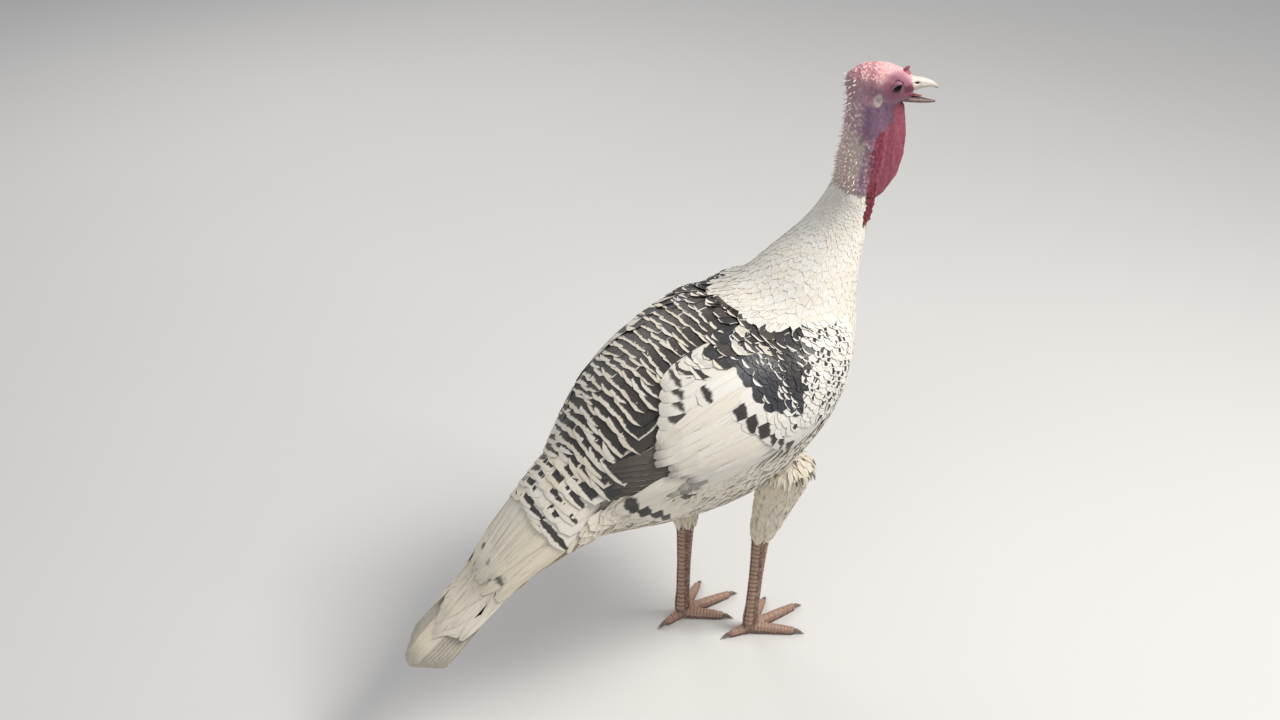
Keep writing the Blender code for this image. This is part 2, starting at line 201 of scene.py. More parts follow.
class Finish:
    """A material with one Principled shader, its slot, and shorthands for what feeds it."""

    def __init__(self, name, slot, constants):
        self.material = bpy.data.materials.new(name)
        self.material.use_nodes = True
        self.slot = slot
        self.tree = self.material.node_tree
        self.shader = self.tree.nodes["Principled BSDF"]
        for socket, value in constants.items():
            self.shader.inputs[socket].default_value = value
        self.any = Flow(self.tree, None)

    def read(self, attribute):
        """A number stored on the mesh."""
        return self.any.add("ShaderNodeAttribute", {"attribute_name": attribute}, output=2)

    def vector(self, attribute):
        """A vector stored on the mesh."""
        return self.any.add("ShaderNodeAttribute", {"attribute_name": attribute}, output=1)

    def here(self):
        """The place on the piece itself."""
        return self.any.add("ShaderNodeTexCoord", output=3)

    def noise(self, where, scale, detail=2.0):
        inputs = {"Vector": where, "Scale": scale, "Detail": detail}
        return self.any.add("ShaderNodeTexNoise", None, inputs)

    def stretched(self, where, size, detail=2.0):
        """Noise over a vector that is stretched by a size for each of its parts."""
        inputs = {0: where, 1: size}
        longer = self.any.add("ShaderNodeVectorMath", {"operation": "MULTIPLY"}, inputs)
        return self.noise(longer, 1.0, detail)

    def feed(self, socket, value):
        self.tree.links.new(value.socket, self.shader.inputs[socket])

    def bump(self, height, distance, strength):
        inputs = {"Height": height, "Distance": distance, "Strength": strength}
        self.feed("Normal", self.any.add("ShaderNodeBump", None, inputs))


print("shader shorthands ready")

# %% [markdown]
# The floor is one wide sheet of pale paper, there to catch the shadows.

# %% Floor
FLOOR_REACH = 6
floor_finish = Finish("floor_paper", None, {"Roughness": 0.9})
paper = floor_finish.noise(floor_finish.here(), 1.3)
floor_finish.feed("Base Color", paper.mix(rgb(0.66, 0.65, 0.63), rgb(0.70, 0.69, 0.67)))
corners = [(x * FLOOR_REACH, y * FLOOR_REACH, 0) for x, y in ((-1, -1), (1, -1), (1, 1), (-1, 1))]
floor_mesh = bpy.data.meshes.new("floor")
floor_mesh.from_pydata(corners, [], [(0, 1, 2, 3)])
floor_mesh.materials.append(floor_finish.material)
floor = in_scene("floor", floor_mesh)
print("floor at 0")

# %% [markdown]
# ## A map of the body
# Feathers have to know where "backwards" and "outwards" are. So the body gets a map like a globe's.
# An axis runs inside the bird from the tail's tip through the trunk and up the neck, and rays shot
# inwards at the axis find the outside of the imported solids. A place is then a station along the
# axis and a turn around it: 0 is the bird's left side, 90 its back, 180 its right side and -90 its
# belly. A spline surface would do as well, but this map follows the solids with no fitting.

# %% The map


def within(node, along, across, up):
    """A point by its shares of a node's box."""
    low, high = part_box(node)
    return [low[i] + (high[i] - low[i]) * share for i, share in enumerate((along, across, up))]


def smooth_step(low, high, value):
    share = np.clip((np.asarray(value, float) - low) / (high - low), 0.0, 1.0)
    return share * share * (3 - 2 * share)


def unit(ways):
    """Directions made one long."""
    return ways / np.linalg.norm(ways, axis=-1, keepdims=True)


def node_points(*names):
    """The vertices and faces of some nodes, as one mesh."""
    points, faces = [], []
    for name in names:
        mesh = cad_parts[name].data
        first = len(points)
        points += [v.co.copy() for v in mesh.vertices]
        faces += [[first + i for i in face.vertices] for face in mesh.polygons]
    return points, faces


def next_rows(grid):
    """A grid shifted back and forth by one row, with its first and last rows repeated."""
    return np.vstack([grid[:1], grid[:-1]]), np.vstack([grid[1:], grid[-1:]])


def next_columns(grid):
    """A grid turned by one column each way."""
    return np.roll(grid, 1, 1), np.roll(grid, -1, 1)


def evened(radius):
    """Each radius averaged with its neighbours around the axis."""
    return (sum(next_columns(radius)) + 2 * radius) / 4


class Field:
    """The outside of solids as a grid of points: stations along an axis and turns around it."""

    EVENINGS, EXTRA_EVENINGS = 4, 14

    def __init__(self, nodes, axis, reach, per_station=10, columns=144, extra=None):
        self.axis = np.array(axis)
        self.last = len(axis) - 1
        self.per_station, self.columns = per_station, columns
        self.stations = np.linspace(0, self.last, self.last * per_station + 1)
        centres = self.centre(self.stations)
        ahead = unit(np.gradient(centres, axis=0))
        dorsal = unit(np.cross(ahead, (0.0, 1.0, 0.0)))
        side = np.cross(dorsal, ahead)
        turns = np.radians(np.arange(columns) * 360 / columns)[None, :, None]
        outward = np.cos(turns) * side[:, None] + np.sin(turns) * dorsal[:, None]
        radius = self.shot(BVHTree.FromPolygons(*node_points(*nodes)), centres, outward, reach)
        for _ in range(self.EVENINGS):
            radius = evened(radius)
            radius = (sum(next_rows(radius)) + 2 * radius) / 4
        if extra:
            share = extra(self.stations)[:, None]
            for _ in range(self.EXTRA_EVENINGS):
                radius = radius + (evened(radius) - radius) * share
        self.radius = radius
        self.points = centres[:, None] + outward * radius[..., None]
        along = np.gradient(self.points, axis=0)
        left, right = next_columns(self.points)
        around = right - left
        normals = np.cross(around, along)
        normals /= np.linalg.norm(normals, axis=2)[..., None] + 1e-12
        self.normals = normals * np.sign((normals * outward).sum(2))[..., None]
        self.along = np.linalg.norm(along, axis=2)[..., None] * per_station
        self.around = np.linalg.norm(around, axis=2)[..., None] / 2 / (360 / columns)

    def shot(self, tree, centres, outward, reach):
        """How far out the solids go, from rays shot inwards. A ray that missed copies its neighbours."""
        radius = np.zeros(outward.shape[:2])
        for row, column in np.ndindex(*radius.shape):
            way = Vector(outward[row, column])
            far = reach(self.stations[row])
            distance = tree.ray_cast(Vector(centres[row]) + way * far, -way, far)[3]
            radius[row, column] = np.nan if distance is None else far - distance
        while np.isnan(radius).any():
            near = np.stack([*next_columns(radius), *next_rows(radius)[::-1]])
            count = (~np.isnan(near)).sum(0)
            total = np.nansum(near, 0)
            fill = np.isnan(radius) & (count > 0)
            radius[fill] = total[fill] / count[fill]
        return radius

    def centre(self, station):
        """Points of the axis, on a smooth curve through its given points."""
        station = np.clip(np.asarray(station, float), 0, self.last)
        index = np.minimum(station.astype(int), self.last - 1)
        u = (station - index)[..., None]
        p, q, r, s = (self.axis[np.clip(index + k, 0, self.last)] for k in (-1, 0, 1, 2))
        square, cube = 2 * p - 5 * q + 4 * r - s, 3 * q - p - 3 * r + s
        return 0.5 * (2 * q + (r - p) * u + square * u**2 + cube * u**3)

    def sample(self, grid, station, turn):
        """The grid's value between its rows and columns."""
        row = np.clip(np.asarray(station, float), 0, self.last) * self.per_station
        column = np.asarray(turn, float) % 360 * self.columns / 360
        low = np.minimum(row.astype(int), len(self.stations) - 2)
        left = column.astype(int) % self.columns
        right = (left + 1) % self.columns
        u, v = (row - low)[..., None], (column - np.floor(column))[..., None]
        first = grid[low, left] * (1 - v) + grid[low, right] * v
        second = grid[low + 1, left] * (1 - v) + grid[low + 1, right] * v
        return first * (1 - u) + second * u


AXIS = [
    within("tail", 0.020, 0.5, 0.029),
    within("tail", 0.226, 0.5, 0.241),
    within("tail", 0.448, 0.5, 0.469),
    within("tail_coverts", 0.259, 0.5, 0.248),
    within("tail_coverts", 0.478, 0.5, 0.421),
    within("tail_coverts", 0.711, 0.5, 0.537),
    within("trunk", 0.250, 0.5, 0.307),
    within("trunk", 0.417, 0.5, 0.387),
    within("trunk", 0.584, 0.5, 0.455),
    within("trunk", 0.728, 0.5, 0.547),
    within("trunk", 0.819, 0.5, 0.683),
    within("trunk", 0.881, 0.492, 0.847),
    within("neck_lower", 0.523, 0.485, 0.306),
    within("neck_lower", 0.664, 0.441, 0.672),
    within("neck_upper", 0.510, 0.494, 0.111),
    within("neck_upper", 0.564, 0.407, 0.476),
    within("neck_upper", 0.546, 0.337, 0.990),
]
WING_PARTS = ("coverts", "secondaries", "primaries")
WINGS = [f"wing_{side}_{part}" for side in SIDES for part in WING_PARTS]
body = Field(
    ["trunk", "neck_lower", "neck_upper", "tail_coverts", "tail", *WINGS],
    AXIS,
    lambda station: 0.17 if station < 11 else 0.17 - 0.035 * min(station - 11, 3),
    extra=lambda station: smooth_step(5.8, 6.8, station) * smooth_step(11.0, 10.3, station),
)
print("body map", body.points.shape, "widest radius", round(float(body.radius.max()), 3))

# %% [markdown]
# ## How one feather is built
# A contour feather is a thin, cambered plate with a shaft down its middle. Each one here is a small
# grid of points, with an upper and a lower face and a rim between them. The grid is bent over the
# body map, so a wide feather follows the roundness of the back. Its root lies deep in the coat and
# its tip near the outside, so that row overlaps row as slates do. Particle hair would be quicker to
# set up, but it can't give a flat vane with a barred tip.

# %% The vane grid
COAT = 7.0 * MM
PATCH = 0.003
ROWS = np.array([0.0, 0.2, 0.4, 0.58, 0.73, 0.86, 0.95, 1.0])
SHORT_ROWS = np.array([0.0, 0.4, 0.7, 0.9, 1.0])
MIDDLE_ROWS = np.array([0.0, 0.3, 0.55, 0.78, 0.92, 1.0])
LONG_ROWS = np.concatenate([np.linspace(0, 0.8, 13), [0.86, 0.91, 0.95, 0.98, 1.0]])


def vane_faces(rows, columns):
    """The faces of one feather: an upper and a lower sheet of points and the rim between them."""
    across = columns + 1
    sheet = rows * across
    faces = []
    for r in range(rows - 1):
        for c in range(columns):
            a, b = r * across + c, (r + 1) * across + c
            faces.append((a, a + 1, b + 1, b))
            faces.append((sheet + a, sheet + b, sheet + b + 1, sheet + a + 1))
    ring = list(range(across)) + [r * across + columns for r in range(1, rows)]
    ring += [(rows - 1) * across + c for c in range(columns - 1, -1, -1)]
    ring += [r * across for r in range(rows - 2, 0, -1)]
    for a, b in zip(ring, ring[1:] + ring[:1]):
        faces.append((b, a, sheet + a, sheet + b))
    return np.array(faces)


def mesh_of(name, points, faces):
    """A mesh from many copies of one set of faces, each on its own points."""
    count, each = points.shape[:2]
    corners = (faces[None] + np.arange(count)[:, None, None] * each).reshape(-1, faces.shape[1])
    mesh = bpy.data.meshes.new(name)
    mesh.vertices.add(count * each)
    mesh.vertices.foreach_set("co", points.astype(np.float32).ravel())
    mesh.loops.add(corners.size)
    mesh.loops.foreach_set("vertex_index", corners.astype(np.int32).ravel())
    mesh.polygons.add(len(corners))
    starts = np.arange(0, corners.size, faces.shape[1], dtype=np.int32)
    mesh.polygons.foreach_set("loop_start", starts)
    mesh.update(calc_edges=True)
    mesh.shade_smooth()
    mesh.set_sharp_from_angle(angle=math.radians(50))
    return mesh


def store(mesh, name, values):
    """Keeps a number or a vector for each vertex."""
    kind, field = ("FLOAT_VECTOR", "vector") if values.ndim == 2 else ("FLOAT", "value")
    made = mesh.attributes.new(name, kind, "POINT")
    made.data.foreach_set(field, values.astype(np.float32).ravel())


def store_map(mesh, spots):
    """Gives the mesh its own map for baking, from a place for each vertex, with a margin."""
    spots = 0.02 + 0.96 * spots
    layer = mesh.uv_layers.new(name="OFBake")
    corner = np.zeros(len(mesh.loops), np.int32)
    mesh.loops.foreach_get("vertex_index", corner)
    layer.data.foreach_set("uv", spots[corner].astype(np.float32).ravel())


def place(mesh, finish):
    """Puts a mesh in the scene as a piece that rides with the bird."""
    mesh.materials.clear()
    mesh.materials.append(finish.material)
    made = in_scene(mesh.name, mesh)
    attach(made, "root")
    return made


print("longest feathers have", len(LONG_ROWS), "rows of points")

# %% [markdown]
# Every feather starts as the same flat outline: narrow at the root, broad in the middle, rounded
# and a little ragged at the tip. Its finish has to know where on the feather it is, so each point
# keeps how far along and across it lies, and how much of a bar its feather wears.

# %% One outline for all feathers
MARKS = {
    "tone": 0.5, "dark": 0.0, "bar_from": 0.8, "bar_to": 0.9, "wide": 1.3, "warm": 0.3, "edge": 0.2,
    "painted_sheen": 0.0, "lined": 0.12,
}
ROOT_WIDTH = 0.35
coat_faces = {}


def for_each(plan, count):
    """Reads a plan of feathers: a number, or one for each feather, ready for their grids."""
    def each(key, default=0.0):
        value = np.asarray(plan.get(key, default), float)
        return np.broadcast_to(value, (count,))[:, None, None]
    return each


def outline(each, count, rows, columns):
    """Flat feathers: shares along and across the grid, and lengths ahead and aside."""
    u = rows[None, :, None]
    v = np.linspace(-1, 1, columns + 1)[None, None, :]
    ragged = CHANCE.normal(0, 1, (count, 1, columns + 1)) * each("ragged", 0.015)
    reach = u * (1 - each("round", 0.16) * np.abs(v) ** 2.4 + ragged * u)
    half = each("width") / 2 * (ROOT_WIDTH + (1 - ROOT_WIDTH) * smooth_step(0.0, 0.55, u))
    half = half * (1 - each("taper", 0.12) * smooth_step(0.6, 1.0, u))
    return u, v, reach, each("length") * reach, v * half, half


def twice(upper, lower=None):
    """One row of numbers for each feather, from those of its upper and its lower sheet."""
    sheets = (upper, upper if lower is None else lower)
    return np.concatenate([s.reshape(len(s), -1, *s.shape[3:]) for s in sheets], 1)


def dressed(name, finish, top, low, spots, reach, v, ahead, aside, plan):
    """A piece of many feathers, with all that their finish reads."""
    count, rows, across = top.shape[:3]
    faces = vane_faces(rows, across - 1)
    mesh = mesh_of(name, twice(top, low), faces)
    number = np.broadcast_to(np.arange(count)[:, None, None] * 0.173, ahead.shape)
    barb = np.stack([ahead - np.abs(aside) * 0.9, aside * 0.12, number], -1)
    vane = np.stack([aside, ahead, number], -1)
    store(mesh, "along", twice(reach).ravel())
    store(mesh, "across", twice(np.broadcast_to(v, ahead.shape)).ravel())
    store(mesh, "vane", twice(vane).reshape(-1, 3))
    store(mesh, "barb", twice(barb).reshape(-1, 3))
    for key, usual in MARKS.items():
        value = np.broadcast_to(np.asarray(plan.get(key, usual), float), (count,))
        store(mesh, key, np.repeat(value, 2 * rows * across))
    store_map(mesh, twice(spots).reshape(-1, 2))
    coat_faces[name] = count * len(faces) * 2
    print(name, count, "feathers,", coat_faces[name], "triangles")
    return place(mesh, finish)


# %% [markdown]
# To bend a feather over the body, each of its points walks back from the root by its true length.
# On the map a step is shorter in a hollow than on a bulge, so the walk adds up the lengths of all
# steps. Stepping by the root's scale alone would stretch feathers wherever the map bunches up.

# %% Feathers bent over a map
LEAST_STEP, LEAST_DEGREE = 0.02, 1e-4


def walked(field, turn):
    """The stations of a field, and the length walked to each of them along each of some turns."""
    turns = np.asarray(turn, float)[:, None]
    along = field.sample(field.along, field.stations[None, :], turns)[..., 0]
    steps = (along[:, 1:] + along[:, :-1]) / 2 * np.diff(field.stations)
    return field.stations, np.concatenate([np.zeros((len(steps), 1)), np.cumsum(steps, 1)], 1)


def walk_back(field, station, turn, rearward):
    """The stations reached by walking back from each root, by the true length over the bird."""
    stations, lengths = walked(field, turn)
    reached = []
    for start, length, far in zip(station, lengths, rearward):
        ends = np.interp(start, stations, length) - far.ravel()
        reached.append(np.interp(ends, length, stations).reshape(far.shape))
    return np.array(reached)


def feathers(name, finish, field, plan, columns=4, rows=ROWS):
    """A piece of feathers over a field. The plan holds one number for all, or one for each."""
    count = len(plan["station"])
    each = for_each(plan, count)
    u, v, reach, ahead, aside, half = outline(each, count, rows, columns)
    mirror = np.where(np.cos(np.radians(each("turn"))) > 0, -1.0, 1.0)
    heading = (each("heading") + each("bend") * u) * mirror
    middle = (each("heading") + each("bend") * u / 2) * mirror
    rearward = ahead * np.cos(middle) - aside * np.sin(heading)
    around = ahead * np.sin(middle) + aside * np.cos(heading)
    if plan.get("straight"):
        per_station = field.sample(field.along, plan["station"], plan["turn"])[:, None]
        station = each("station") - rearward / np.maximum(per_station, LEAST_STEP)
    else:
        station = walk_back(field, plan["station"], plan["turn"], rearward)
    per_degree = field.sample(field.around, station, each("turn") + 0 * station)[..., 0]
    turn = each("turn") + around / np.maximum(per_degree, LEAST_DEGREE)
    point = field.sample(field.points, station, turn)
    normal = unit(field.sample(field.normals, station, turn))
    height = each("low", -COAT) + (each("high") - each("low", -COAT)) * u
    height = height + each("camber", 0.10) * half * (1 - v**2) + each("tilt") * aside
    top = point + normal * height[..., None]
    thick = each("thick", 0.35 * MM) * (1 - 0.55 * np.abs(v)) * (1 - 0.4 * u)
    patch = each("patch", PATCH) * np.ones_like(ahead)
    spots = np.stack([
        each("turn") / 360 % 1 + patch * v / 2,
        each("station") / field.last + patch * (0.5 - reach),
    ], -1)
    low = top - normal * thick[..., None]
    return dressed(name, finish, top, low, spots, reach, v, ahead, aside, plan)


# %% [markdown]
# ## Where feathers grow
# Feathers grow in staggered rows, like fish scales. A row runs around the body, and its feathers
# are spaced by real distance and not by angle, or they would crowd together on the neck. A small
# seeded jitter keeps the rows from looking machine-made.

# %% Rows of roots
DEGREES = np.linspace(90, -90, 361)
MEAN_STEP = 0.065


def staggered(field, first, last, pitch, gap, where, jitter=0.16, measured=(90, 0, -90)):
    """Stations and turns of roots, in rows from first to last. Pitch and gap depend on the station.

    The rows lie a pitch apart on average along the turns in measured.
    """
    stations, lengths = walked(field, measured)
    lengths = lengths.mean(axis=0)
    station, row, found = first, 0, []
    while station > last:
        for mirror in (1, -1):
            turns = DEGREES if mirror > 0 else 180 - DEGREES
            step = field.sample(field.around, np.full(len(turns), station), turns)[:, 0] * 0.5
            length = np.concatenate([[0], np.cumsum(step[1:])])
            spacing = gap(station)
            first_spot = 0.5 * (row % 2) if mirror > 0 else 1.0 - 0.5 * (row % 2)
            spots = np.arange(first_spot, length[-1] / spacing)
            lateral = (spots + CHANCE.normal(0, jitter * 0.5, len(spots))) * spacing
            up = np.interp(np.abs(lateral), length, DEGREES)
            wander = CHANCE.normal(0, jitter * 0.5, len(spots)) * pitch(station) / MEAN_STEP
            rows = station + wander
            around = up if mirror > 0 else 180 - up
            found += [(s, a) for s, a, k in zip(rows, around, where(rows, around)) if k]
        after = np.interp(station, stations, lengths) - pitch(station)
        station = float(np.interp(after, lengths, stations))
        row += 1
    return np.array(found).T


def rise_of(turn):
    """Degrees up from the side of the body, on either side."""
    turn = (np.asarray(turn) + 90) % 360 - 90
    return np.where(turn > 90, 180 - turn, turn)


def between(value, *pairs):
    """A number that changes along straight lines between (place, number) pairs."""
    places, numbers = zip(*sorted(pairs))
    return np.interp(value, places, numbers)


def chance(count, low, high):
    return CHANCE.uniform(low, high, count)


def spread(count, deviation):
    return CHANCE.normal(0, deviation, count)


print("body stations 0 to", body.last)

# %% [markdown]
# ## The finish of plumage
# One finish paints every feather, from a few numbers that each feather carries: how dark its bar
# is, where the bar begins and ends, how creamy the white is, and how grey the edge. The barbs are
# fine slanting streaks, darker and lighter, with a slight relief.

# %% Plumage
WHITE, CREAM = rgb(0.82, 0.81, 0.78), rgb(0.76, 0.66, 0.48)
BLACK, BROWN = rgb(0.012, 0.012, 0.014), rgb(0.060, 0.042, 0.032)


def plumage(name, slot):
    finish = Finish(name, slot, {"Specular IOR Level": 0.35})
    along, side = finish.read("along"), finish.read("across").math("ABSOLUTE")
    vane, barb = finish.vector("vane"), finish.vector("barb")
    tone, wide = finish.read("tone"), finish.read("wide")
    bar_from, bar_to = finish.read("bar_from"), finish.read("bar_to")
    fray = finish.stretched(vane, (160, 90, 31)) - 0.5
    lines = finish.stretched(vane, (900, 55, 5))
    streak = finish.stretched(barb, (1500, 900, 7), 3.0)
    clump = finish.stretched(barb, (380, 500, 13))
    # The bar: its front and rear ends are frayed and a little rounded, and so are its sides.
    rounding = side * side * 0.035
    frayed = along + fray * 0.09
    starts = (frayed - rounding).step(bar_from - 0.02, bar_from + 0.02)
    ends = (frayed + rounding).step(bar_to - 0.02, bar_to + 0.02)
    wide = wide + fray * 0.45
    dark = starts * (1 - ends) * (1 - side.step(wide - 0.06, wide + 0.06)) * finish.read("dark")
    rim = (side.step(0.72, 1.0) + along.step(0.88, 0.99)).math("MINIMUM", 1.0)
    edge = rim * finish.read("edge") * (0.55 + clump * 0.9)
    shaft = 1 - side.step(0.02, 0.07)
    white = layered(
        WHITE,
        (finish.read("warm"), CREAM),
        (tone * 0.16 + clump * 0.16, rgb(0.50, 0.46, 0.41)),
        ((1 - along.step(0.0, 0.45)) * 0.3, rgb(0.50, 0.47, 0.43)),
        (edge.math("MINIMUM", 0.85), rgb(0.16, 0.145, 0.14)),
        (shaft * 0.35, rgb(0.62, 0.50, 0.34)),
    )
    ink = layered(
        BLACK,
        (tone, BROWN),
        (clump.step(0.45, 0.75) * 0.35, rgb(0.075, 0.066, 0.060)),
        # Painted sheen: a blue tint in the black stands in for the blue shine of the shoulder and
        # scapulars.
        (finish.read("painted_sheen") * clump.step(0.35, 0.65), rgb(0.020, 0.035, 0.075)),
    )
    finish.feed("Base Color", layered(
        white,
        (dark, ink),
        (lines.step(0.56, 0.72) * finish.read("lined"), rgb(0.16, 0.15, 0.15)),
        (streak.step(0.55, 0.8) * 0.10, rgb(0.09, 0.085, 0.08)),
    ))
    finish.feed("Roughness", 0.66 - dark * 0.26)
    finish.bump(streak * 0.5 + clump * 0.5 + shaft * 0.9, 0.25 * MM, 0.8)
    return finish


white_plumage = plumage("white_plumage", "plumage_white")
barred_plumage = plumage("barred_plumage", "plumage_barred")
print("plumage nodes", len(white_plumage.tree.nodes))

# %% [markdown]
# ## The coat, tract by tract
# The lie of the feathers follows the bird's own tracts: hackles down the neck, a white cape over
# the shoulders, dark scapulars, a barred back and rump, soft flanks and a creamy belly. Front
# tracts lie over rear ones. The wing covers its own stretch of the map, so the tracts around it
# need to know where its edges are.

# %% Where the tracts meet
SKIN_TOP, FRONT_TOP, FRONT_TURN = 13.85, 12.9, 217


def from_front(turn):
    """Degrees round the neck from the line below the wattle, which hangs to the breast's right."""
    return np.abs((turn - FRONT_TURN + 180) % 360 - 180)


def feathered(station, turn):
    """1 where the neck has feathers, 0 where its skin is bare: lower down in front than behind."""
    front = smooth_step(46, 32, from_front(turn))
    edge = SKIN_TOP - (SKIN_TOP - FRONT_TOP) * front
    return smooth_step(edge + 0.12, edge - 0.12, station)


def wing_low(station):
    return between(
        station, (4.9, 24), (5.5, 12), (6.2, 3), (7.2, -4), (8.2, -11), (9.0, -16), (9.7, -16), (10.3, -5),
    )


def wing_top(station):
    return between(
        station, (4.9, 34), (5.5, 39), (6.2, 47), (7.0, 64), (8.2, 66), (9.0, 60), (9.7, 50), (10.3, 34),
    )


def on_right_side(turn):
    return np.cos(np.radians(turn)) < 0


def cape_edge(turn):
    """The station at which the white of the cape ends."""
    up = rise_of(turn)
    edge = between(
        up, (-20, 9.0), (-10, 10.3), (0, 10.55), (26, 10.35), (45, 10.1), (75, 9.78), (90, 9.70),
    )
    return edge - 0.25 * ~on_right_side(turn) * smooth_step(85, 60, up) * (up > 20)


print("the cape ends at station", float(cape_edge(90)), "on the back")

# %% [markdown]
# The feathers of the neck are tiny and close, and each row back they grow larger, so that neck,
# cape and breast run into each other. They share one plan, in which size depends on the station.

# %% Neck, cape and breast


def cape_size(station):
    return between(
        station, (9.0, 38 * MM), (11, 34 * MM), (12, 27 * MM), (13, 16 * MM), (14, 8 * MM),
    )


def cape_plan(station, turn):
    """What the feathers of the neck, cape and breast share."""
    count, up = len(station), rise_of(turn)
    # The lower side of the lower neck and breast gets greyer edges and more grey lines: partly the real
    # grey streaks there, partly painted shade of the underside.
    shade_and_streaks_below = smooth_step(16, -30, up) * smooth_step(13.0, 11.5, station)
    last_rows = smooth_step(11.0, 10.5, station) * smooth_step(-5, 15, up)
    return {
        "station": station, "turn": turn,
        "length": cape_size(station) * chance(count, 0.90, 1.12),
        "width": cape_size(station) * chance(count, 0.50, 0.62) + 1.2 * MM,
        "low": -between(station, (9, 1.9 * MM), (12, 1.6 * MM), (14, 1.0 * MM)),
        "high": between(station, (13.0, -0.1 * MM), (13.9, 0.6 * MM)),
        "heading": spread(count, 0.06), "bend": spread(count, 0.05),
        "camber": 0.010, "tilt": 0.012, "round": 0.30, "ragged": 0.050, "thick": 0.06 * MM,
        "tone": chance(count, 0, 0.35), "warm": chance(count, 0.15, 0.5),
        "edge": 0.02 + 0.08 * shade_and_streaks_below, "lined": 0.22 + 0.35 * shade_and_streaks_below + 0.45 * last_rows,
    }


def neck_where(station, turn):
    fuzz = np.clip(spread(np.shape(turn), 0.22), -0.3, 0.4)
    return feathered(station + 0.02, turn) > 0.5 + fuzz


def cape_where(station, turn):
    up = rise_of(turn)
    clear_of_wing = (station > 10.9) | (up < wing_low(station) + 2) | (up > 30)
    return (station > cape_edge(turn) + 0.45) & clear_of_wing


station, turn = staggered(
    body, 13.95, 12.2, lambda s: cape_size(s) / 3.4, lambda s: cape_size(s) * 0.36, neck_where,
)
feathers("coat_neck", white_plumage, body, cape_plan(station, turn), rows=SHORT_ROWS)
station, turn = staggered(
    body, 12.2, 9.3, lambda s: cape_size(s) / 4.2, lambda s: cape_size(s) * 0.34, cape_where,
)
back_part = rise_of(turn) > 8
for name, chosen in (("coat_cape", back_part), ("coat_breast", ~back_part)):
    plan = cape_plan(station[chosen], turn[chosen])
    feathers(name, white_plumage, body, plan, rows=MIDDLE_ROWS)

# %% [markdown]
# The back and rump wear broad black feathers with a pale tip, and rows of those tips make the bars.
# Towards the tail the white takes over and each feather keeps only one black bar, so the bar's two
# ends are given for each feather by its station.

# %% Back, rump and the coverts over the tail
STATION_LENGTH = 0.066


def back_size(station):
    return between(
        station, (1.8, 52 * MM), (4, 58 * MM), (6, 60 * MM), (8, 46 * MM), (9.6, 36 * MM), (10.8, 30 * MM),
    )


def back_where(station, turn, over=0.0):
    """The back's tract. It drapes over the top of the left wing, and a little over the right's."""
    up, right = rise_of(turn), on_right_side(turn)
    beside_wing = wing_top(station) + np.where(right, 2 * smooth_step(6.4, 7.0, station) - 2, -16)
    beside_wing = beside_wing - over * right
    beside_tail = between(station, (2, -60), (3.5, -25), (4.9, 20))
    return np.where(station > 4.9, up > beside_wing, up > beside_tail)


def is_scapular(station, turn):
    """The dark tract behind the cape. It runs back along both sides of the barred feathers."""
    beside = rise_of(turn) < np.where(on_right_side(turn), 74, 60)
    return (station > 9.55) | beside & (station > 7.5)


station, turn = staggered(
    body, 9.7, 4.4,
    lambda s: between(s, (4.4, 19 * MM), (5.3, 15 * MM), (6, 13 * MM), (7.5, 11.5 * MM), (9.6, 10 * MM)),
    lambda s: between(s, (4, 17 * MM), (6, 20 * MM), (8, 19 * MM), (9.6, 15 * MM)),
    lambda s, turn: back_where(s, turn) & ~is_scapular(s, turn), jitter=0.11, measured=(60, 90, 120),
)
count = len(station)
tip = station - back_size(station) / STATION_LENGTH
pale = smooth_step(5.2, 4.2, tip)
shown = (pale < 0.5) | (chance(count, 0, 1) < 0.66)
back_piece = feathers("coat_back", barred_plumage, body, {
    "station": station, "turn": turn,
    "length": back_size(station) * chance(count, 0.96, 1.05),
    "width": between(station, (4, 40 * MM), (6, 44 * MM), (8, 38 * MM), (9.6, 30 * MM)),
    "low": -between(station, (7, 6.0 * MM), (9, 4.5 * MM)), "high": 0.2 * MM,
    "tilt": spread(count, 0.02), "heading": spread(count, 0.05),
    "camber": 0.05, "round": 0.10, "taper": 0.05, "ragged": 0.014, "thick": 0.4 * MM, "patch": 0.011,
    "tone": chance(count, 0, 0.5), "warm": chance(count, 0.35, 0.8),
    "dark": 0.97 * shown,
    "bar_from": -0.1 + 0.85 * pale + 0.03 * chance(count, 0, 1) * pale,
    "bar_to": between(station, (6.0, 0.90), (7.5, 0.925)) + chance(count, -0.012, 0.016),
    "wide": np.where(chance(count, 0, 1) < 0.2, 0.9, 1.4) - 0.4 * pale * chance(count, 0.2, 1),
    "edge": 0.10,
})

# %% [markdown]
# The scapulars lie between back and wing: darker, less regular, and here and there with a pale one.
# Their rows are shaken harder than those of the back, so that no bars form.

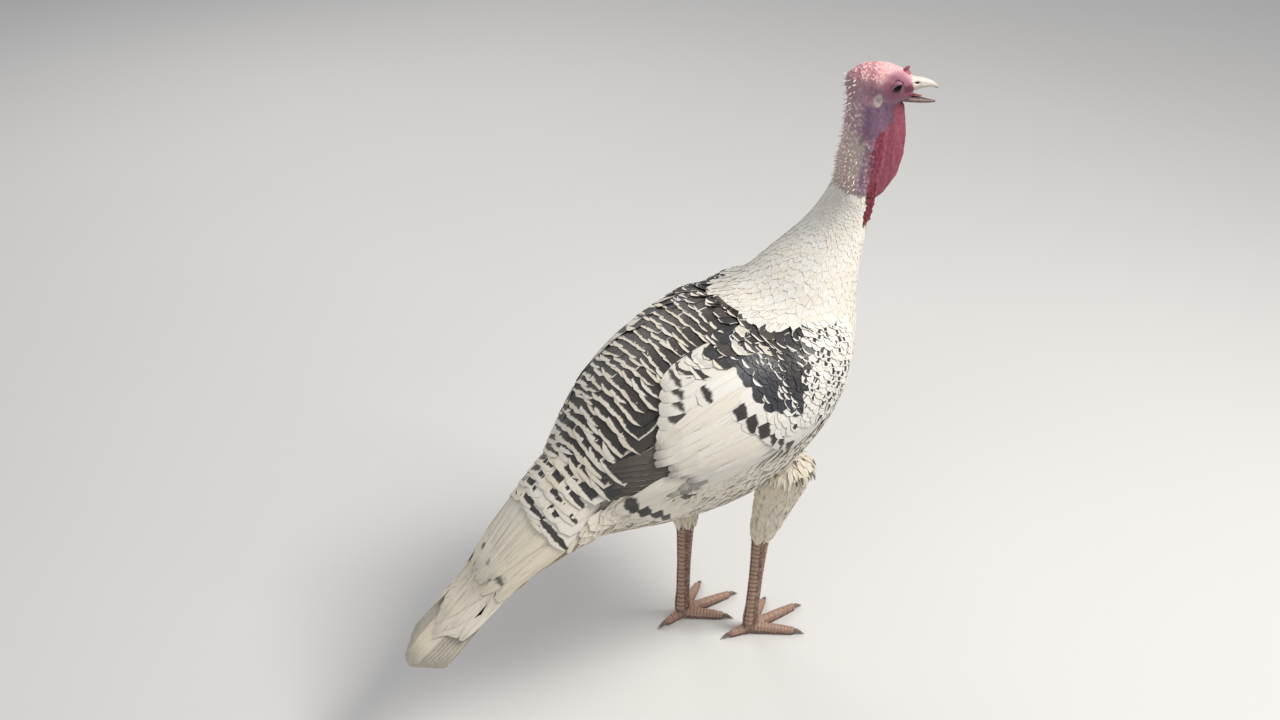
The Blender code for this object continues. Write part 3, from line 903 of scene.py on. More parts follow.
# %% Scapulars
station, turn = staggered(
    body, 10.7, 7.5, lambda s: 11.5 * MM, lambda s: between(s, (8.6, 18 * MM), (10.7, 15 * MM)),
    lambda s, turn: back_where(s, turn, 7) & is_scapular(s, turn) & (s < cape_edge(turn) + 0.2),
    jitter=0.34, measured=(40, 60, 120, 140),
)
count = len(station)
brownish = chance(count, 0, 1) < 0.22
pale_one = chance(count, 0, 1) < 0.14
feathers("coat_scapulars", barred_plumage, body, {
    "station": station, "turn": turn,
    "length": back_size(station) * chance(count, 0.85, 1.10),
    "width": between(station, (8.6, 34 * MM), (10.7, 25 * MM)) * chance(count, 0.85, 1.1),
    "low": -4.0 * MM, "high": between(station, (8.4, 2.0 * MM), (9.6, 0.9 * MM)),
    "tilt": spread(count, 0.03), "heading": spread(count, 0.12),
    "camber": 0.05, "round": 0.22, "taper": 0.15, "ragged": 0.03, "thick": 0.3 * MM, "patch": 0.010,
    "tone": chance(count, 0, 0.3) + 0.6 * brownish, "warm": chance(count, 0.2, 0.7),
    "dark": np.where(pale_one, 0.25, 0.97), "bar_from": -0.1, "bar_to": chance(count, 0.86, 0.97),
    # A little painted sheen, a blue tint in the black.
    "wide": chance(count, 0.84, 1.25), "edge": 0.10, "painted_sheen": 0.15,
})

# %% [markdown]
# Behind the last barred coverts lie two layers of long, plain, creamy feathers. They hide the roots
# of the tail, so the barred coat runs out into a smooth tail with no step. Long feathers are given
# by their two ends, and a straight step is enough for them.

# %% Long plain coverts
LONG_COVERTS = 15


def on_side(rise, side):
    """The turn of a place that is some degrees up from the middle of a side."""
    return rise if side == "left" else 180 - rise


def fan(name, finish, side, roots, tips, plan, columns=8):
    """Long feathers from (station, rise) pairs of their roots and their tips."""
    roots, tips = np.array(roots, float), np.array(tips, float)
    turns = on_side(roots[:, 1], side)
    middle = (roots + tips) / 2
    middle_turn = on_side(middle[:, 1], side)
    per_station = body.sample(body.along, middle[:, 0], middle_turn)[:, 0]
    per_degree = body.sample(body.around, middle[:, 0], middle_turn)[:, 0]
    back, down = (roots - tips).T
    down = down * per_degree
    return feathers(name, finish, body, {
        "station": roots[:, 0], "turn": turns, "straight": True,
        "length": np.hypot(back * body.sample(body.along, roots[:, 0], turns)[:, 0], down),
        "heading": np.arctan2(down, back * per_station), **plan,
    }, columns, LONG_ROWS)


order = np.arange(LONG_COVERTS)
around = np.linspace(-38, 218, LONG_COVERTS)
for name, root, tip, high, barred in (
    ("coat_tail_long", 3.7, 0.9, -0.3 * MM, 0.0),
    ("coat_tail_short", 4.4, 2.0, 0.3 * MM, 0.25),
):
    tips = tip + chance(LONG_COVERTS, -0.22, 0.22)
    fan(name, white_plumage, "left", [(root, turn) for turn in around], list(zip(tips, around)), {
        "width": 32 * MM, "low": -4.0 * MM, "high": high + 0.5 * MM * (1 - np.abs(order - 7) / 7),
        "tilt": spread(LONG_COVERTS, 0.02), "bend": spread(LONG_COVERTS, 0.03),
        "camber": 0.04, "round": 0.30, "taper": 0.30, "ragged": 0.012, "thick": 0.4 * MM, "patch": 0.02,
        "tone": chance(LONG_COVERTS, 0.0, 0.45), "warm": chance(LONG_COVERTS, 0.55, 0.85),
        "dark": 0.8 * (chance(LONG_COVERTS, 0, 1) < barred),
        "bar_from": 0.81, "bar_to": 0.86, "wide": 0.6, "edge": 0.18, "lined": 0.30,
    }, columns=6)

# %% [markdown]
# The belly and flanks are soft and fluffy, so their feathers are thin, ragged and set close. A few
# under the wing and near the vent carry a dark bar.

# %% Belly, flanks and vent


def belly_size(station):
    return between(station, (2.2, 40 * MM), (4, 44 * MM), (6, 38 * MM), (9.5, 30 * MM))


def belly_where(station, turn):
    beside_tail = between(station, (2, -60), (3.5, -20), (5.2, 12))
    return rise_of(turn) < np.where(station > 5.2, wing_low(station) + 1, beside_tail)


station, turn = staggered(
    body, 9.4, 2.4,
    lambda s: between(s, (2.4, 10 * MM), (9.4, 9 * MM)),
    lambda s: between(s, (2.4, 11 * MM), (9.4, 11 * MM)),
    belly_where,
)
count, up = len(station), rise_of(turn)
tip = station - belly_size(station) / STATION_LENGTH
under_wing = (tip > 4.3) & (tip < 5.2) & (up > -36) & (chance(count, 0, 1) < 0.12)
spotted = (tip > 7.9) & (tip < 8.8) & (up > -42) & (chance(count, 0, 1) < 0.30)
feathers("coat_belly", white_plumage, body, {
    "station": station, "turn": turn,
    "length": belly_size(station) * chance(count, 0.90, 1.12),
    "width": belly_size(station) * chance(count, 0.55, 0.70),
    "low": -between(station, (3, 5.0 * MM), (7, 3.4 * MM)),
    "high": between(station, (3, 2.0 * MM), (6, 0.0)) * chance(count, 0.2, 1.2) - 0.1 * MM,
    "tilt": spread(count, 0.025), "heading": spread(count, 0.12),
    "camber": 0.02, "taper": 0.25, "round": 0.30, "ragged": 0.075, "thick": 0.12 * MM,
    "tone": chance(count, 0, 0.5),
    "warm": between(station, (3, 0.9), (7, 0.6), (9.5, 0.3)) * chance(count, 0.7, 1.1),
    "dark": np.where(under_wing | spotted, 0.95, 0.0), "bar_from": np.where(under_wing, 0.74, 0.85),
    "bar_to": 0.93, "wide": np.where(under_wing, 0.8, 0.55), "edge": 0.04, "lined": 0.18,
}, rows=MIDDLE_ROWS)

# %% [markdown]
# ## The folded wing
# A folded wing is a fan that has been shut. Its long feathers spring from the hand and the arm at
# the front, and run back side by side: the lowest is the outermost one, and each one above it lies
# on top of its neighbour. Over their roots lies a row of large coverts, and over those the small
# coverts of the shoulder. So each long feather is given a root and a tip on the body map.

# %% Feathers of the wing
ARM_TIPS = np.array([5.80, 5.92, 6.12, 6.30, 6.25, 6.08, 6.14, 5.98, 6.04, 6.15])
PRIMARIES, SECONDARIES, TERTIALS, LARGE_COVERTS = 8, len(ARM_TIPS), 6, 8
wing_pieces = {}
for side in SIDES:
    # The hand's feathers, under the rest: only their dark tips show.
    order = np.arange(PRIMARIES)
    roots = [(7.3, 4 + 3.4 * i) for i in order]
    tips = [(4.78 + 0.10 * abs(2 - i), 19 + 3.2 * i) for i in order]
    wing_pieces[side, "primaries"] = fan(f"wing_{side}_hand", barred_plumage, side, roots, tips, {
        "width": 25 * MM, "low": (0.35 * order - 6.0) * MM, "high": (0.45 * order - 2.2) * MM,
        "camber": 0.05, "round": 0.30, "taper": 0.45, "ragged": 0.004, "thick": 0.5 * MM, "patch": 0.03,
        "tone": 0.75 + 0.2 * chance(PRIMARIES, 0, 1), "warm": 0.6, "dark": 0.93,
        "bar_from": 0.42 + chance(PRIMARIES, -0.05, 0.05), "bar_to": 1.2, "wide": 0.90, "edge": 0.05,
    })
    # The arm's feathers, from the lowest and outermost up. The lowest three have a dusky end.
    order = np.arange(SECONDARIES)
    roots = [(8.45 - 0.03 * i, -13 + 6.2 * i) for i in order]
    tips = [(ARM_TIPS[i], -2 + 4.6 * i + ((i * 5) % 3 - 1) * 0.9) for i in order]
    dusky_ends = np.where(order < 3, 0.95, 0.12) * chance(SECONDARIES, 0.6, 1.0)
    wing_pieces[side, "secondaries"] = fan(f"wing_{side}_arm", white_plumage, side, roots, tips, {
        "width": 40 * MM, "low": (0.30 * order - 5.0) * MM, "high": (0.30 * order - 2.0) * MM,
        "camber": 0.13, "round": 0.32, "taper": 0.34, "ragged": 0.006, "thick": 0.6 * MM, "patch": 0.03,
        "tilt": 0.07, "tone": chance(SECONDARIES, 0.1, 0.6),
        "warm": 0.30 + 0.25 * chance(SECONDARIES, 0, 1),
        "dark": dusky_ends, "bar_from": 0.78, "bar_to": 0.93, "wide": 0.75, "edge": 0.75, "lined": 0.30,
    })
    # The innermost ones, broad and barred, lie on top of the fan.
    order = np.arange(TERTIALS)
    root_step, tip_step = (5.4, 5.6) if side == "right" else (2.6, 2.4)
    roots = [(8.5 - 0.05 * i, 36 + root_step * i) for i in order]
    tips = [(6.12 + 0.13 * i, 38 + tip_step * i) for i in order]
    fan(f"wing_{side}_inner", barred_plumage, side, roots, tips, {
        "width": 40 * MM, "low": (0.3 * order - 3.0) * MM, "high": (0.5 * order - 0.8) * MM,
        "camber": 0.06, "round": 0.20, "taper": 0.10, "ragged": 0.006, "thick": 0.45 * MM, "patch": 0.03,
        "tone": chance(TERTIALS, 0.2, 0.8), "warm": 0.35, "dark": 0.95,
        "bar_from": chance(TERTIALS, 0.74, 0.82), "bar_to": chance(TERTIALS, 0.86, 0.91),
        "wide": 0.86, "edge": 0.25,
    })
    # Large coverts over the roots of the arm's feathers. Each ends in a square black spot.
    order = np.arange(LARGE_COVERTS)
    roots = [(9.25 - 0.12 * i, -14 + 8.6 * i) for i in order]
    tips = [(7.88 - 0.122 * i, -2 + 7.2 * i) for i in order]
    wing_pieces[side, "coverts"] = fan(f"wing_{side}_large_coverts", white_plumage, side, roots, tips, {
        "width": 36 * MM, "low": (0.1 * order - 3.6) * MM, "high": (0.2 * order - 0.6) * MM,
        "camber": 0.06, "round": 0.12, "taper": 0.08, "ragged": 0.022, "thick": 0.4 * MM, "patch": 0.02,
        "tilt": 0.03, "tone": chance(LARGE_COVERTS, 0.0, 0.35), "warm": 0.20, "dark": 0.97,
        "bar_from": chance(LARGE_COVERTS, 0.77, 0.87), "bar_to": chance(LARGE_COVERTS, 0.92, 0.95),
        "wide": chance(LARGE_COVERTS, 0.65, 1.1), "edge": 0.10,
    }, columns=6)

# %% [markdown]
# Below the wing's tip a few large flank feathers show, each with one black bar. They carry the
# bars of the rump on round the side.

# %% Barred feathers under the wing's tip
UNDER_WING = 4
order = np.arange(UNDER_WING)
for side in SIDES:
    roots = [(6.75 - 0.02 * i, 12 - 9 * i) for i in order]
    tips = [(4.90 + 0.22 * i, 9 - 9 * i) for i in order]
    fan(f"coat_under_wing_{side}", white_plumage, side, roots, tips, {
        "width": 42 * MM, "low": -3.0 * MM, "high": (0.5 - 0.15 * order) * MM,
        "camber": 0.05, "round": 0.2, "taper": 0.2, "ragged": 0.02, "thick": 0.3 * MM, "patch": 0.02,
        "tilt": 0.03, "tone": chance(UNDER_WING, 0.0, 0.3), "warm": 0.5, "dark": 0.96,
        "bar_from": chance(UNDER_WING, 0.70, 0.74), "bar_to": chance(UNDER_WING, 0.86, 0.90),
        "wide": 0.92, "edge": 0.08,
    }, columns=6)

# %% [markdown]
# The shoulder is a patch of black that breaks up forwards and downwards into white. So each of its
# small coverts is wholly black, black with a white tip, streaked or white, by where it grows and by
# a little seeded chance.

# %% Small coverts of the shoulder


def shoulder_size(station):
    return between(station, (8.0, 30 * MM), (9.3, 24 * MM), (10.6, 17 * MM))


def shoulder_where(station, turn):
    up = rise_of(turn)
    rear = 8.25 + 0.9 * smooth_step(12, -10, up)
    on_wing = (up < wing_top(station) + 4) & (up > wing_low(station) - 3)
    return on_wing & (station > rear) & (station < cape_edge(turn) + 0.35)


station, turn = staggered(
    body, 10.95, 8.15, lambda s: shoulder_size(s) / 2.9, lambda s: shoulder_size(s) * 0.46,
    shoulder_where,
)
count, up = len(station), rise_of(turn)
wander = 4 * spread(count, 1)
dark_low = between(station, (8.4, 22), (8.8, 12), (9.1, 16), (9.5, 22), (10.0, 28), (10.5, 38))
inked = (up + wander > dark_low) & (station < 10.55)
solid = chance(count, 0, 1) < 0.7
often = between(station, (9.2, 0.1), (9.5, 0.6), (10.2, 0.6), (10.6, 0.2))
streaked = (chance(count, 0, 1) < often) & (up > -10)
feathers("coat_shoulder", barred_plumage, body, {
    "station": station, "turn": turn,
    "length": shoulder_size(station) * chance(count, 0.92, 1.10),
    "width": shoulder_size(station) * chance(count, 0.68, 0.86),
    "low": -3.0 * MM, "high": 0.4 * MM,
    "tilt": spread(count, 0.03), "heading": 0.10 + spread(count, 0.10),
    "camber": 0.05, "round": 0.20, "ragged": 0.03, "thick": 0.2 * MM, "patch": 0.008,
    "tone": chance(count, 0, 0.35), "warm": chance(count, 0.05, 0.3),
    "dark": 0.97 * np.maximum(inked, streaked),
    "bar_from": np.where(inked, -0.1, 0.40), "bar_to": np.where(inked & solid, 1.2, 0.90),
    "wide": np.where(inked, np.where(solid, 1.3, 0.86), 0.34), "lined": np.where(up < 20, 0.3, 0.12),
    # The black near the back carries painted sheen, a blue tint standing in for its shine.
    "edge": 0.06, "painted_sheen": 0.5 * smooth_step(9.7, 8.8, station) * (up > 12),
})

# %% [markdown]
# ## The tail
# Twelve stiff feathers lie folded one over the other, the middle pair on top. They stand on a flat
# plate of the body map, so they are laid straight on their own plane and not on the round map.

# %% Tail feathers
TAIL_FEATHERS, TAIL_COLUMNS = 12, 8
order = np.arange(TAIL_FEATHERS)
from_middle = np.abs(order - (TAIL_FEATHERS - 1) / 2)[:, None, None]
tail_side = np.sign(order - (TAIL_FEATHERS - 1) / 2)[:, None, None]
tail_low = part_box("tail")[0]
tail_root = np.array(within("tail", 0.93, 0.5, 0.93))
tail_tip = np.array((tail_low.x + 0.004, 0.0, tail_low.z + 0.006))
tail_length = np.linalg.norm(tail_tip - tail_root)
rearward = (tail_tip - tail_root) / tail_length
sideways = np.array((0.0, 1.0, 0.0))
upward = np.array((rearward[2], 0.0, -rearward[0]))
u = LONG_ROWS[None, :, None]
v = np.linspace(-1, 1, TAIL_COLUMNS + 1)[None, None, :]
ragged = CHANCE.normal(0, 0.004, (TAIL_FEATHERS, 1, TAIL_COLUMNS + 1))
reach = u * (1 - 0.05 * np.abs(v) ** 2.2 + ragged * u)
ahead = (tail_length - 0.004 * from_middle) * reach
half = 0.0215 * (0.45 + 0.55 * smooth_step(0, 0.5, u)) * (1 - 0.08 * smooth_step(0.9, 1, u))
aside = v * half * np.ones_like(reach)
across = tail_side * from_middle * (0.0013 + 0.0030 * u) + v * half
up = (5.0 - 1.35 * from_middle) * MM * (1 - 0.35 * u) - 2.6 * across**2 + 0.0012 * (1 - v**2)
up = up - tail_side * v * 0.0006
top = tail_root + ahead[..., None] * rearward + across[..., None] * sideways + up[..., None] * upward
low = top - (0.5 * MM * (1 - 0.5 * np.abs(v)))[..., None] * upward
column = (order[:, None, None] + 0.5 + 0.42 * v) / TAIL_FEATHERS * np.ones_like(reach)
spots = np.stack([column, 0.1 + 0.8 * reach], -1)
tail = dressed("tail_feathers", white_plumage, top, low, spots, reach, v, ahead, aside, {
    "tone": 0.15 + 0.3 * chance(TAIL_FEATHERS, 0, 1),
    "dark": 0.35 * (chance(TAIL_FEATHERS, 0, 1) < 0.4),
    "bar_from": 0.60, "bar_to": 0.63, "warm": 0.75 + 0.2 * chance(TAIL_FEATHERS, 0, 1),
    "edge": 0.6, "lined": 0.3,
})
print("tail feathers", TAIL_FEATHERS, "length", round(float(tail_length), 3))

# %% [markdown]
# ## One skin
# Under the coat lies one closed skin, so no seam can show where the head, neck, trunk and legs
# meet. Its parts are made in the way that suits each: the head and feet are fused from the packed
# solids by a voxel remesh, which gives even, small faces for warts and scales, and the trunk and
# thighs are tubes of their body maps, drawn in by the depth of the coat. A boolean then unites them.

# %% Fused solids


def released(work, name):
    """The mesh that a bmesh holds. The bmesh is freed."""
    made = bpy.data.meshes.new(name)
    work.to_mesh(made)
    work.free()
    return made


def shown_mesh(piece):
    """The mesh that comes out of an object's modifiers."""
    graph = bpy.context.evaluated_depsgraph_get()
    return bpy.data.meshes.new_from_object(piece.evaluated_get(graph))


def grown(node, grow, cut):
    """A node grown a little, so that it overlaps its neighbours, and cut off below a plane."""
    work = bmesh.new()
    work.from_mesh(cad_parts[node].data)
    bmesh.ops.remove_doubles(work, verts=work.verts, dist=1e-6)
    if cut:
        geometry = [*work.verts, *work.edges, *work.faces]
        bmesh.ops.bisect_plane(work, geom=geometry, plane_co=cut[0], plane_no=cut[1], clear_inner=True)
        bmesh.ops.holes_fill(work, edges=[e for e in work.edges if e.is_boundary])
    work.normal_update()
    for vertex in work.verts:
        vertex.co += vertex.normal * grow
    return released(work, "part")


def fused(name, nodes, voxel, grow, extra=(), cuts=None, smooth=3):
    """Some nodes and extra shapes as one closed mesh of small, even faces."""
    work = bmesh.new()
    for node in nodes:
        part = grown(node, grow, (cuts or {}).get(node))
        work.from_mesh(part)
        bpy.data.meshes.remove(part)
    for shape in extra:
        work.from_mesh(shape)
    raw = released(work, name)
    holder = in_scene(name, raw)
    remesh = holder.modifiers.new("remesh", "REMESH")
    remesh.mode = "VOXEL"
    remesh.voxel_size = voxel
    soften = holder.modifiers.new("soften", "SMOOTH")
    soften.factor = 0.5
    soften.iterations = smooth
    made = shown_mesh(holder)
    bpy.data.objects.remove(holder)
    bpy.data.meshes.remove(raw)
    return made


def coordinates(mesh, kind="co"):
    values = np.zeros(len(mesh.vertices) * 3)
    mesh.vertices.foreach_get(kind, values)
    return values.reshape(-1, 3)


def facing(mesh):
    return coordinates(mesh, "normal")


def set_coordinates(mesh, spots):
    mesh.vertices.foreach_set("co", spots.astype(np.float32).ravel())
    mesh.update()


print("tools for fusing ready")

# %% [markdown]
# The eyes tell where the head points: the line between them is its width, and its bill lies ahead.
# Lids are two soft rims around each eyeball. They are added to the head before it is fused, so
# they grow out of the face like real folds.

# %% Head frame and lids
LID_TILT = math.radians(38)
LID_LONG, UPPER_SHORT, LOWER_SHORT = 6.1, 4.8, 4.6
LID_THICK, UPPER_SWELL, LOWER_SWELL = 1.2, 1.2, 0.7
eye_middles = {}
for side in SIDES:
    low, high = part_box("eye_" + side)
    eye_middles[side] = (low + high) / 2
    EYE_RADIUS = (high - low).z / 2
HEAD = np.array((eye_middles["left"] + eye_middles["right"]) / 2)
LEFT = np.array((eye_middles["left"] - eye_middles["right"]).normalized())
UP = np.array((0.0, 0.0, 1.0))
AHEAD = np.cross(LEFT, UP)
EYE_SPOTS = {side: np.array(middle) for side, middle in eye_middles.items()}


def on_head(points):
    """Each point's distance ahead of the eyes, left of the head's middle, and above the eyes."""
    away = np.asarray(points) - HEAD
    return away @ AHEAD, away @ LEFT, away @ UP


def from_head(ahead, left, up):
    """A point given in millimetres ahead of the eyes, left of the head's middle and above them."""
    return HEAD + AHEAD * ahead * MM + LEFT * left * MM + UP * up * MM


def joined(work, pairs):
    """Faces between pairs of rings of a bmesh's points."""
    for one, two in pairs:
        for k in range(len(one)):
            j = (k + 1) % len(one)
            work.faces.new((one[k], one[j], two[j], two[k]))


def tube(path, radius, closed=False, sides=8):
    """A mesh tube along points, with a radius at each: capped at its ends, or a closed ring."""
    work = bmesh.new()
    path = [Vector(spot) for spot in path]
    count = len(path)
    turns = [2 * math.pi * k / sides for k in range(sides)]
    loops, first = [], None
    for i, spot in enumerate(path):
        after = path[(i + 1) % count] if closed or i < count - 1 else spot
        before = path[i - 1] if closed or i > 0 else spot
        way = (after - before).normalized()
        first = (first - way * first.dot(way) if loops else way.orthogonal()).normalized()
        second = way.cross(first)
        ring = [spot + (first * math.cos(t) + second * math.sin(t)) * radius[i] for t in turns]
        loops.append([work.verts.new(p) for p in ring])
    joined(work, zip(loops, loops[1:]))
    if closed:
        # The ring may come round twisted, so its ends are joined where their points lie closest.
        start, end = loops[0], loops[-1]
        twist = min(range(sides), key=lambda k: (end[0].co - start[k].co).length)
        joined(work, [(end, start[twist:] + start[:twist])])
    else:
        work.faces.new(loops[0][::-1])
        work.faces.new(loops[-1])
    bmesh.ops.recalc_face_normals(work, faces=work.faces)
    return released(work, "tube")


lids = []
for side, sign in SIDES.items():
    rim, thick = [], []
    for turn in np.linspace(0, 2 * math.pi, 28, endpoint=False):
        upper = turn < math.pi
        long = LID_LONG * MM * math.cos(turn)
        short = (UPPER_SHORT if upper else LOWER_SHORT) * MM * math.sin(turn)
        ahead = long * math.cos(LID_TILT) - short * math.sin(LID_TILT)
        rise = long * math.sin(LID_TILT) + short * math.cos(LID_TILT)
        out = math.sqrt(max((EYE_RADIUS + 0.35 * MM) ** 2 - long**2 - short**2, 1e-8))
        rim.append(EYE_SPOTS[side] + AHEAD * ahead + UP * rise + LEFT * sign * out)
        swell = (UPPER_SWELL if upper else LOWER_SWELL) * abs(math.sin(turn))
        thick.append((LID_THICK + swell) * MM)
    lids.append(tube(rim, thick, closed=True))
print("head at", HEAD.round(3), "eye radius", round(EYE_RADIUS, 4))

# %% [markdown]
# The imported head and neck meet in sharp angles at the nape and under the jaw. Two tubes of flesh
# fill those angles, and the points there are then relaxed towards their neighbours. A stronger
# smoothing of the whole head would be simpler, but it would melt the lids and the snood.

# %% Flesh that fills the angles
NAPE_LINE = ((-30, -1, -6), (-34, -1, -20), (-33.5, 0, -40), (-33, 1, -62), (-34, 3, -88), (-36, 4.6, -114))
NAPE_GIRTH = (17, 19.8, 20.6, 21.6, 23.0, 24.6)
JAW_LINE = ((-8, 0, -6), (-11, 0, -18), (-14, 0.4, -32), (-18, 1.5, -60), (-22, 2, -90))
JAW_GIRTH = (10, 13.6, 14, 14, 15)
nape_fill = tube([from_head(*spot) for spot in NAPE_LINE], [g * MM for g in NAPE_GIRTH], sides=28)
jaw_fill = tube([from_head(*spot) for spot in JAW_LINE], [g * MM for g in JAW_GIRTH], sides=24)


def relaxed(mesh, weight, rounds):
    """Draws each point towards the middle of its neighbours, as far as its weight allows."""
    edges = np.zeros(len(mesh.edges) * 2, np.int32)
    mesh.edges.foreach_get("vertices", edges)
    one, two = edges.reshape(-1, 2).T
    count = len(mesh.vertices)
    near = np.maximum(np.bincount(one, minlength=count) + np.bincount(two, minlength=count), 1)
    spots = coordinates(mesh)
    for _ in range(rounds):
        total = np.stack([
            np.bincount(one, spots[two, k], count) + np.bincount(two, spots[one, k], count)
            for k in range(3)
        ], 1)
        spots += (total / near[:, None] - spots) * (0.5 * weight)[:, None]
    set_coordinates(mesh, spots)


print("nape and jaw filled")

# %% [markdown]
# The skin of the head is cut off where the neck's coat begins, and there the trunk's tube takes
# over. The two overlap, as do all parts that the boolean will unite: surfaces that only touch
# would leave slivers.

# %% Skin parts
NECK_CUT = 12.45
TUBE_STEP = 0.15
HEAD_NODES = ("head", "neck_upper", "neck_lower", "dewlap", "snood")
THIGH_AXIS = ((0.324, 0.193, 0.03), (0.37, 0.30, 0.30), (0.44, 0.45, 0.62), (0.5, 0.574, 0.93))


def skin_depth(station, turn):
    """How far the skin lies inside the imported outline."""
    coat = between(
        station, (2.5, 8 * MM), (9.5, 8.5 * MM), (11.5, 5.5 * MM), (13.0, 2.8 * MM), (13.6, 1.6 * MM),
        (14.2, 0.8 * MM),
    )
    return coat * feathered(station, turn)


def thigh_depth(station, turn):
    return between(station, (0.0, 1.6 * MM), (0.5, 3.5 * MM), (3.0, 7 * MM))


def pole_capped(name, rings, first_pole, last_pole):
    """A closed mesh from rings of points, with a single point at either end."""
    work = bmesh.new()
    loops = [[work.verts.new(p) for p in ring] for ring in rings]
    joined(work, zip(loops, loops[1:]))
    for loop, spot, way in ((loops[0], first_pole, 1), (loops[-1], last_pole, -1)):
        pole = work.verts.new(spot)
        for one, two in zip(loop, loop[1:] + loop[:1]):
            work.faces.new((one, two, pole)[::way])
    bmesh.ops.recalc_face_normals(work, faces=work.faces)
    return released(work, name)


def map_tube(name, field, first, last, depth, columns):
    """A closed tube of a body map, drawn in by a depth that depends on the place."""
    stations = np.arange(first, last + 1e-6, TUBE_STEP)
    turns = np.arange(columns) * 360 / columns
    grid_s, grid_t = np.meshgrid(stations, turns, indexing="ij")
    inset = depth(grid_s, grid_t)[..., None]
    rings = field.sample(field.points, grid_s, grid_t) - field.sample(field.normals, grid_s, grid_t) * inset
    return pole_capped(name, rings, rings[0].mean(0), rings[-1].mean(0))


def toe_nodes(side):
    return [f"toe_{toe}_{side}" for toe in ("middle", "inner", "outer", "hind")]


cut_spot = Vector(body.centre(NECK_CUT))
cut_way = Vector(body.centre(NECK_CUT + 0.1) - body.centre(NECK_CUT)).normalized()
head_skin = fused(
    "head_skin", HEAD_NODES, 1.05 * MM, 0.45 * MM,
    extra=[*lids, nape_fill, jaw_fill], cuts={"neck_lower": (cut_spot, cut_way)},
)
ahead, left, up = on_head(coordinates(head_skin))
soften = smooth_step(-0.002, -0.010, up) * smooth_step(-0.118, -0.10, up)
nape_bend = smooth_step(-0.020, -0.034, ahead) * (up > -0.06) * smooth_step(0.022, 0.012, up)
soften = np.maximum(soften, nape_bend) * smooth_step(0.012, 0.004, ahead)
relaxed(head_skin, soften, 60)
print("head skin", len(head_skin.polygons), "faces")
thighs = {}
for side in SIDES:
    axis = [
        within("thigh_" + side, along, across if side == "left" else 1 - across, up)
        for along, across, up in THIGH_AXIS
    ]
    thighs[side] = Field(["thigh_" + side], axis, lambda station: 0.08, per_station=12, columns=72)
skin_parts = [head_skin, map_tube("trunk_skin", body, 2.7, 13.2, skin_depth, 64)]
for side, field in thighs.items():
    skin_parts.append(map_tube("thigh_skin", field, 0.1, 2.9, thigh_depth, 40))
    low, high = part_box("shank_" + side)
    hock_line = [((low.x + high.x) / 2, (low.y + high.y) / 2, high.z - 0.022)]
    hock_line += [field.centre(station) for station in (0.15, 0.5, 0.9)]
    hock_fill = tube(hock_line, [9.5 * MM, 11.5 * MM, 12.0 * MM, 10.0 * MM], sides=20)
    leg_nodes = ["shank_" + side, *toe_nodes(side)]
    skin_parts.append(fused("leg_skin", leg_nodes, 1.3 * MM, 0.4 * MM, extra=[hock_fill], smooth=2))
print("skin parts", [len(part.polygons) for part in skin_parts])

# %% [markdown]
# A union by the manifold solver is exact and quick, but only on closed meshes, so the count of open
# edges is printed to prove that the result is closed as well.

# %% Unite them
whole = in_scene("skin", skin_parts[0])
helpers = [in_scene("helper", part) for part in skin_parts[1:]]
for helper in helpers:
    join = whole.modifiers.new("unite", "BOOLEAN")
    join.operation = "UNION"
    join.solver = "MANIFOLD"
    join.object = helper
skin = shown_mesh(whole)
for spare in [whole, *helpers]:
    bpy.data.objects.remove(spare)
check = bmesh.new()
check.from_mesh(skin)
print("skin", len(skin.polygons), "faces, open edges", sum(not e.is_manifold for e in check.edges))
check.free()

# %% [markdown]
# ## Warts, folds and scales
# The bare skin of a turkey is covered with rounded grains, from fine beads on the crown to berries
# at the foot of the neck. A Voronoi pattern gives such grains: its distance is least at the middle
# of each cell. The grains are pushed out of the mesh itself, because they break the outline, and
# a bump in the material alone would leave the outline smooth. First each zone is measured.

# %% Measures over the skin


def distance_to(points, *nodes):
    """How far each point is from the surface of some nodes."""
    tree = BVHTree.FromPolygons(*node_points(*nodes))
    return np.array([tree.find_nearest(p)[3] for p in points])


def beads(points, size, girth=0.62):
    """1 in the middle of grains of a size, and 0 between them. A small girth sets them apart."""
    near = np.array([noise.voronoi(p)[0][0] for p in points / size])
    return np.clip(1 - (near / girth) ** 2, 0, 1)


def clouds(points, size):
    """A soft noise between about -1 and 1, with features of a size."""
    return np.array([noise.noise(p) for p in points / size])


def spot(points, centre, radii):
    """1 at a centre on the head, and 0 outside an ellipsoid round it, on both sides of the head."""
    ahead, left, up = on_head(points)
    away = np.stack([ahead, np.abs(left), up], -1) - np.array(centre)
    return smooth_step(1.0, 0.45, np.linalg.norm(away / np.array(radii), axis=1))


body_points, body_ways = body.points.reshape(-1, 3), body.normals.reshape(-1, 3)
lookup = KDTree(len(body_points))
for index, point in enumerate(body_points):
    lookup.insert(point, index)
lookup.balance()


def nearest_on_body(points):
    """Which point of the body map is nearest to each point, and how far each stands out from it."""
    nearest = np.array([lookup.find(p)[1] for p in points])
    return nearest, ((points - body_points[nearest]) * body_ways[nearest]).sum(1)


spots, ways = coordinates(skin), facing(skin)
ahead, left, up = on_head(spots)
nearest, height = nearest_on_body(spots)
skin_station = body.stations[nearest // body.columns]
skin_turn = (nearest % body.columns) * 360 / body.columns
skin_up = rise_of(skin_turn)
front_turn = from_front(skin_turn)
leg = smooth_step(0.176, 0.168, spots[:, 2])
plume = np.maximum(feathered(skin_station, skin_turn) * (1 - leg), spots[:, 2] < 0.5) * (1 - leg)
bare = (1 - plume) * (1 - leg)
print("skin zones measured over", len(spots), "points")

# %% [markdown]
# The face is mapped from the eyes outwards: lids, a dark lore before the eye, the pale ear patch
# behind and below it, and the small red corner of the mouth. Noise shifts the edges of the larger
# patches, because skin never changes colour along a clean ellipse.

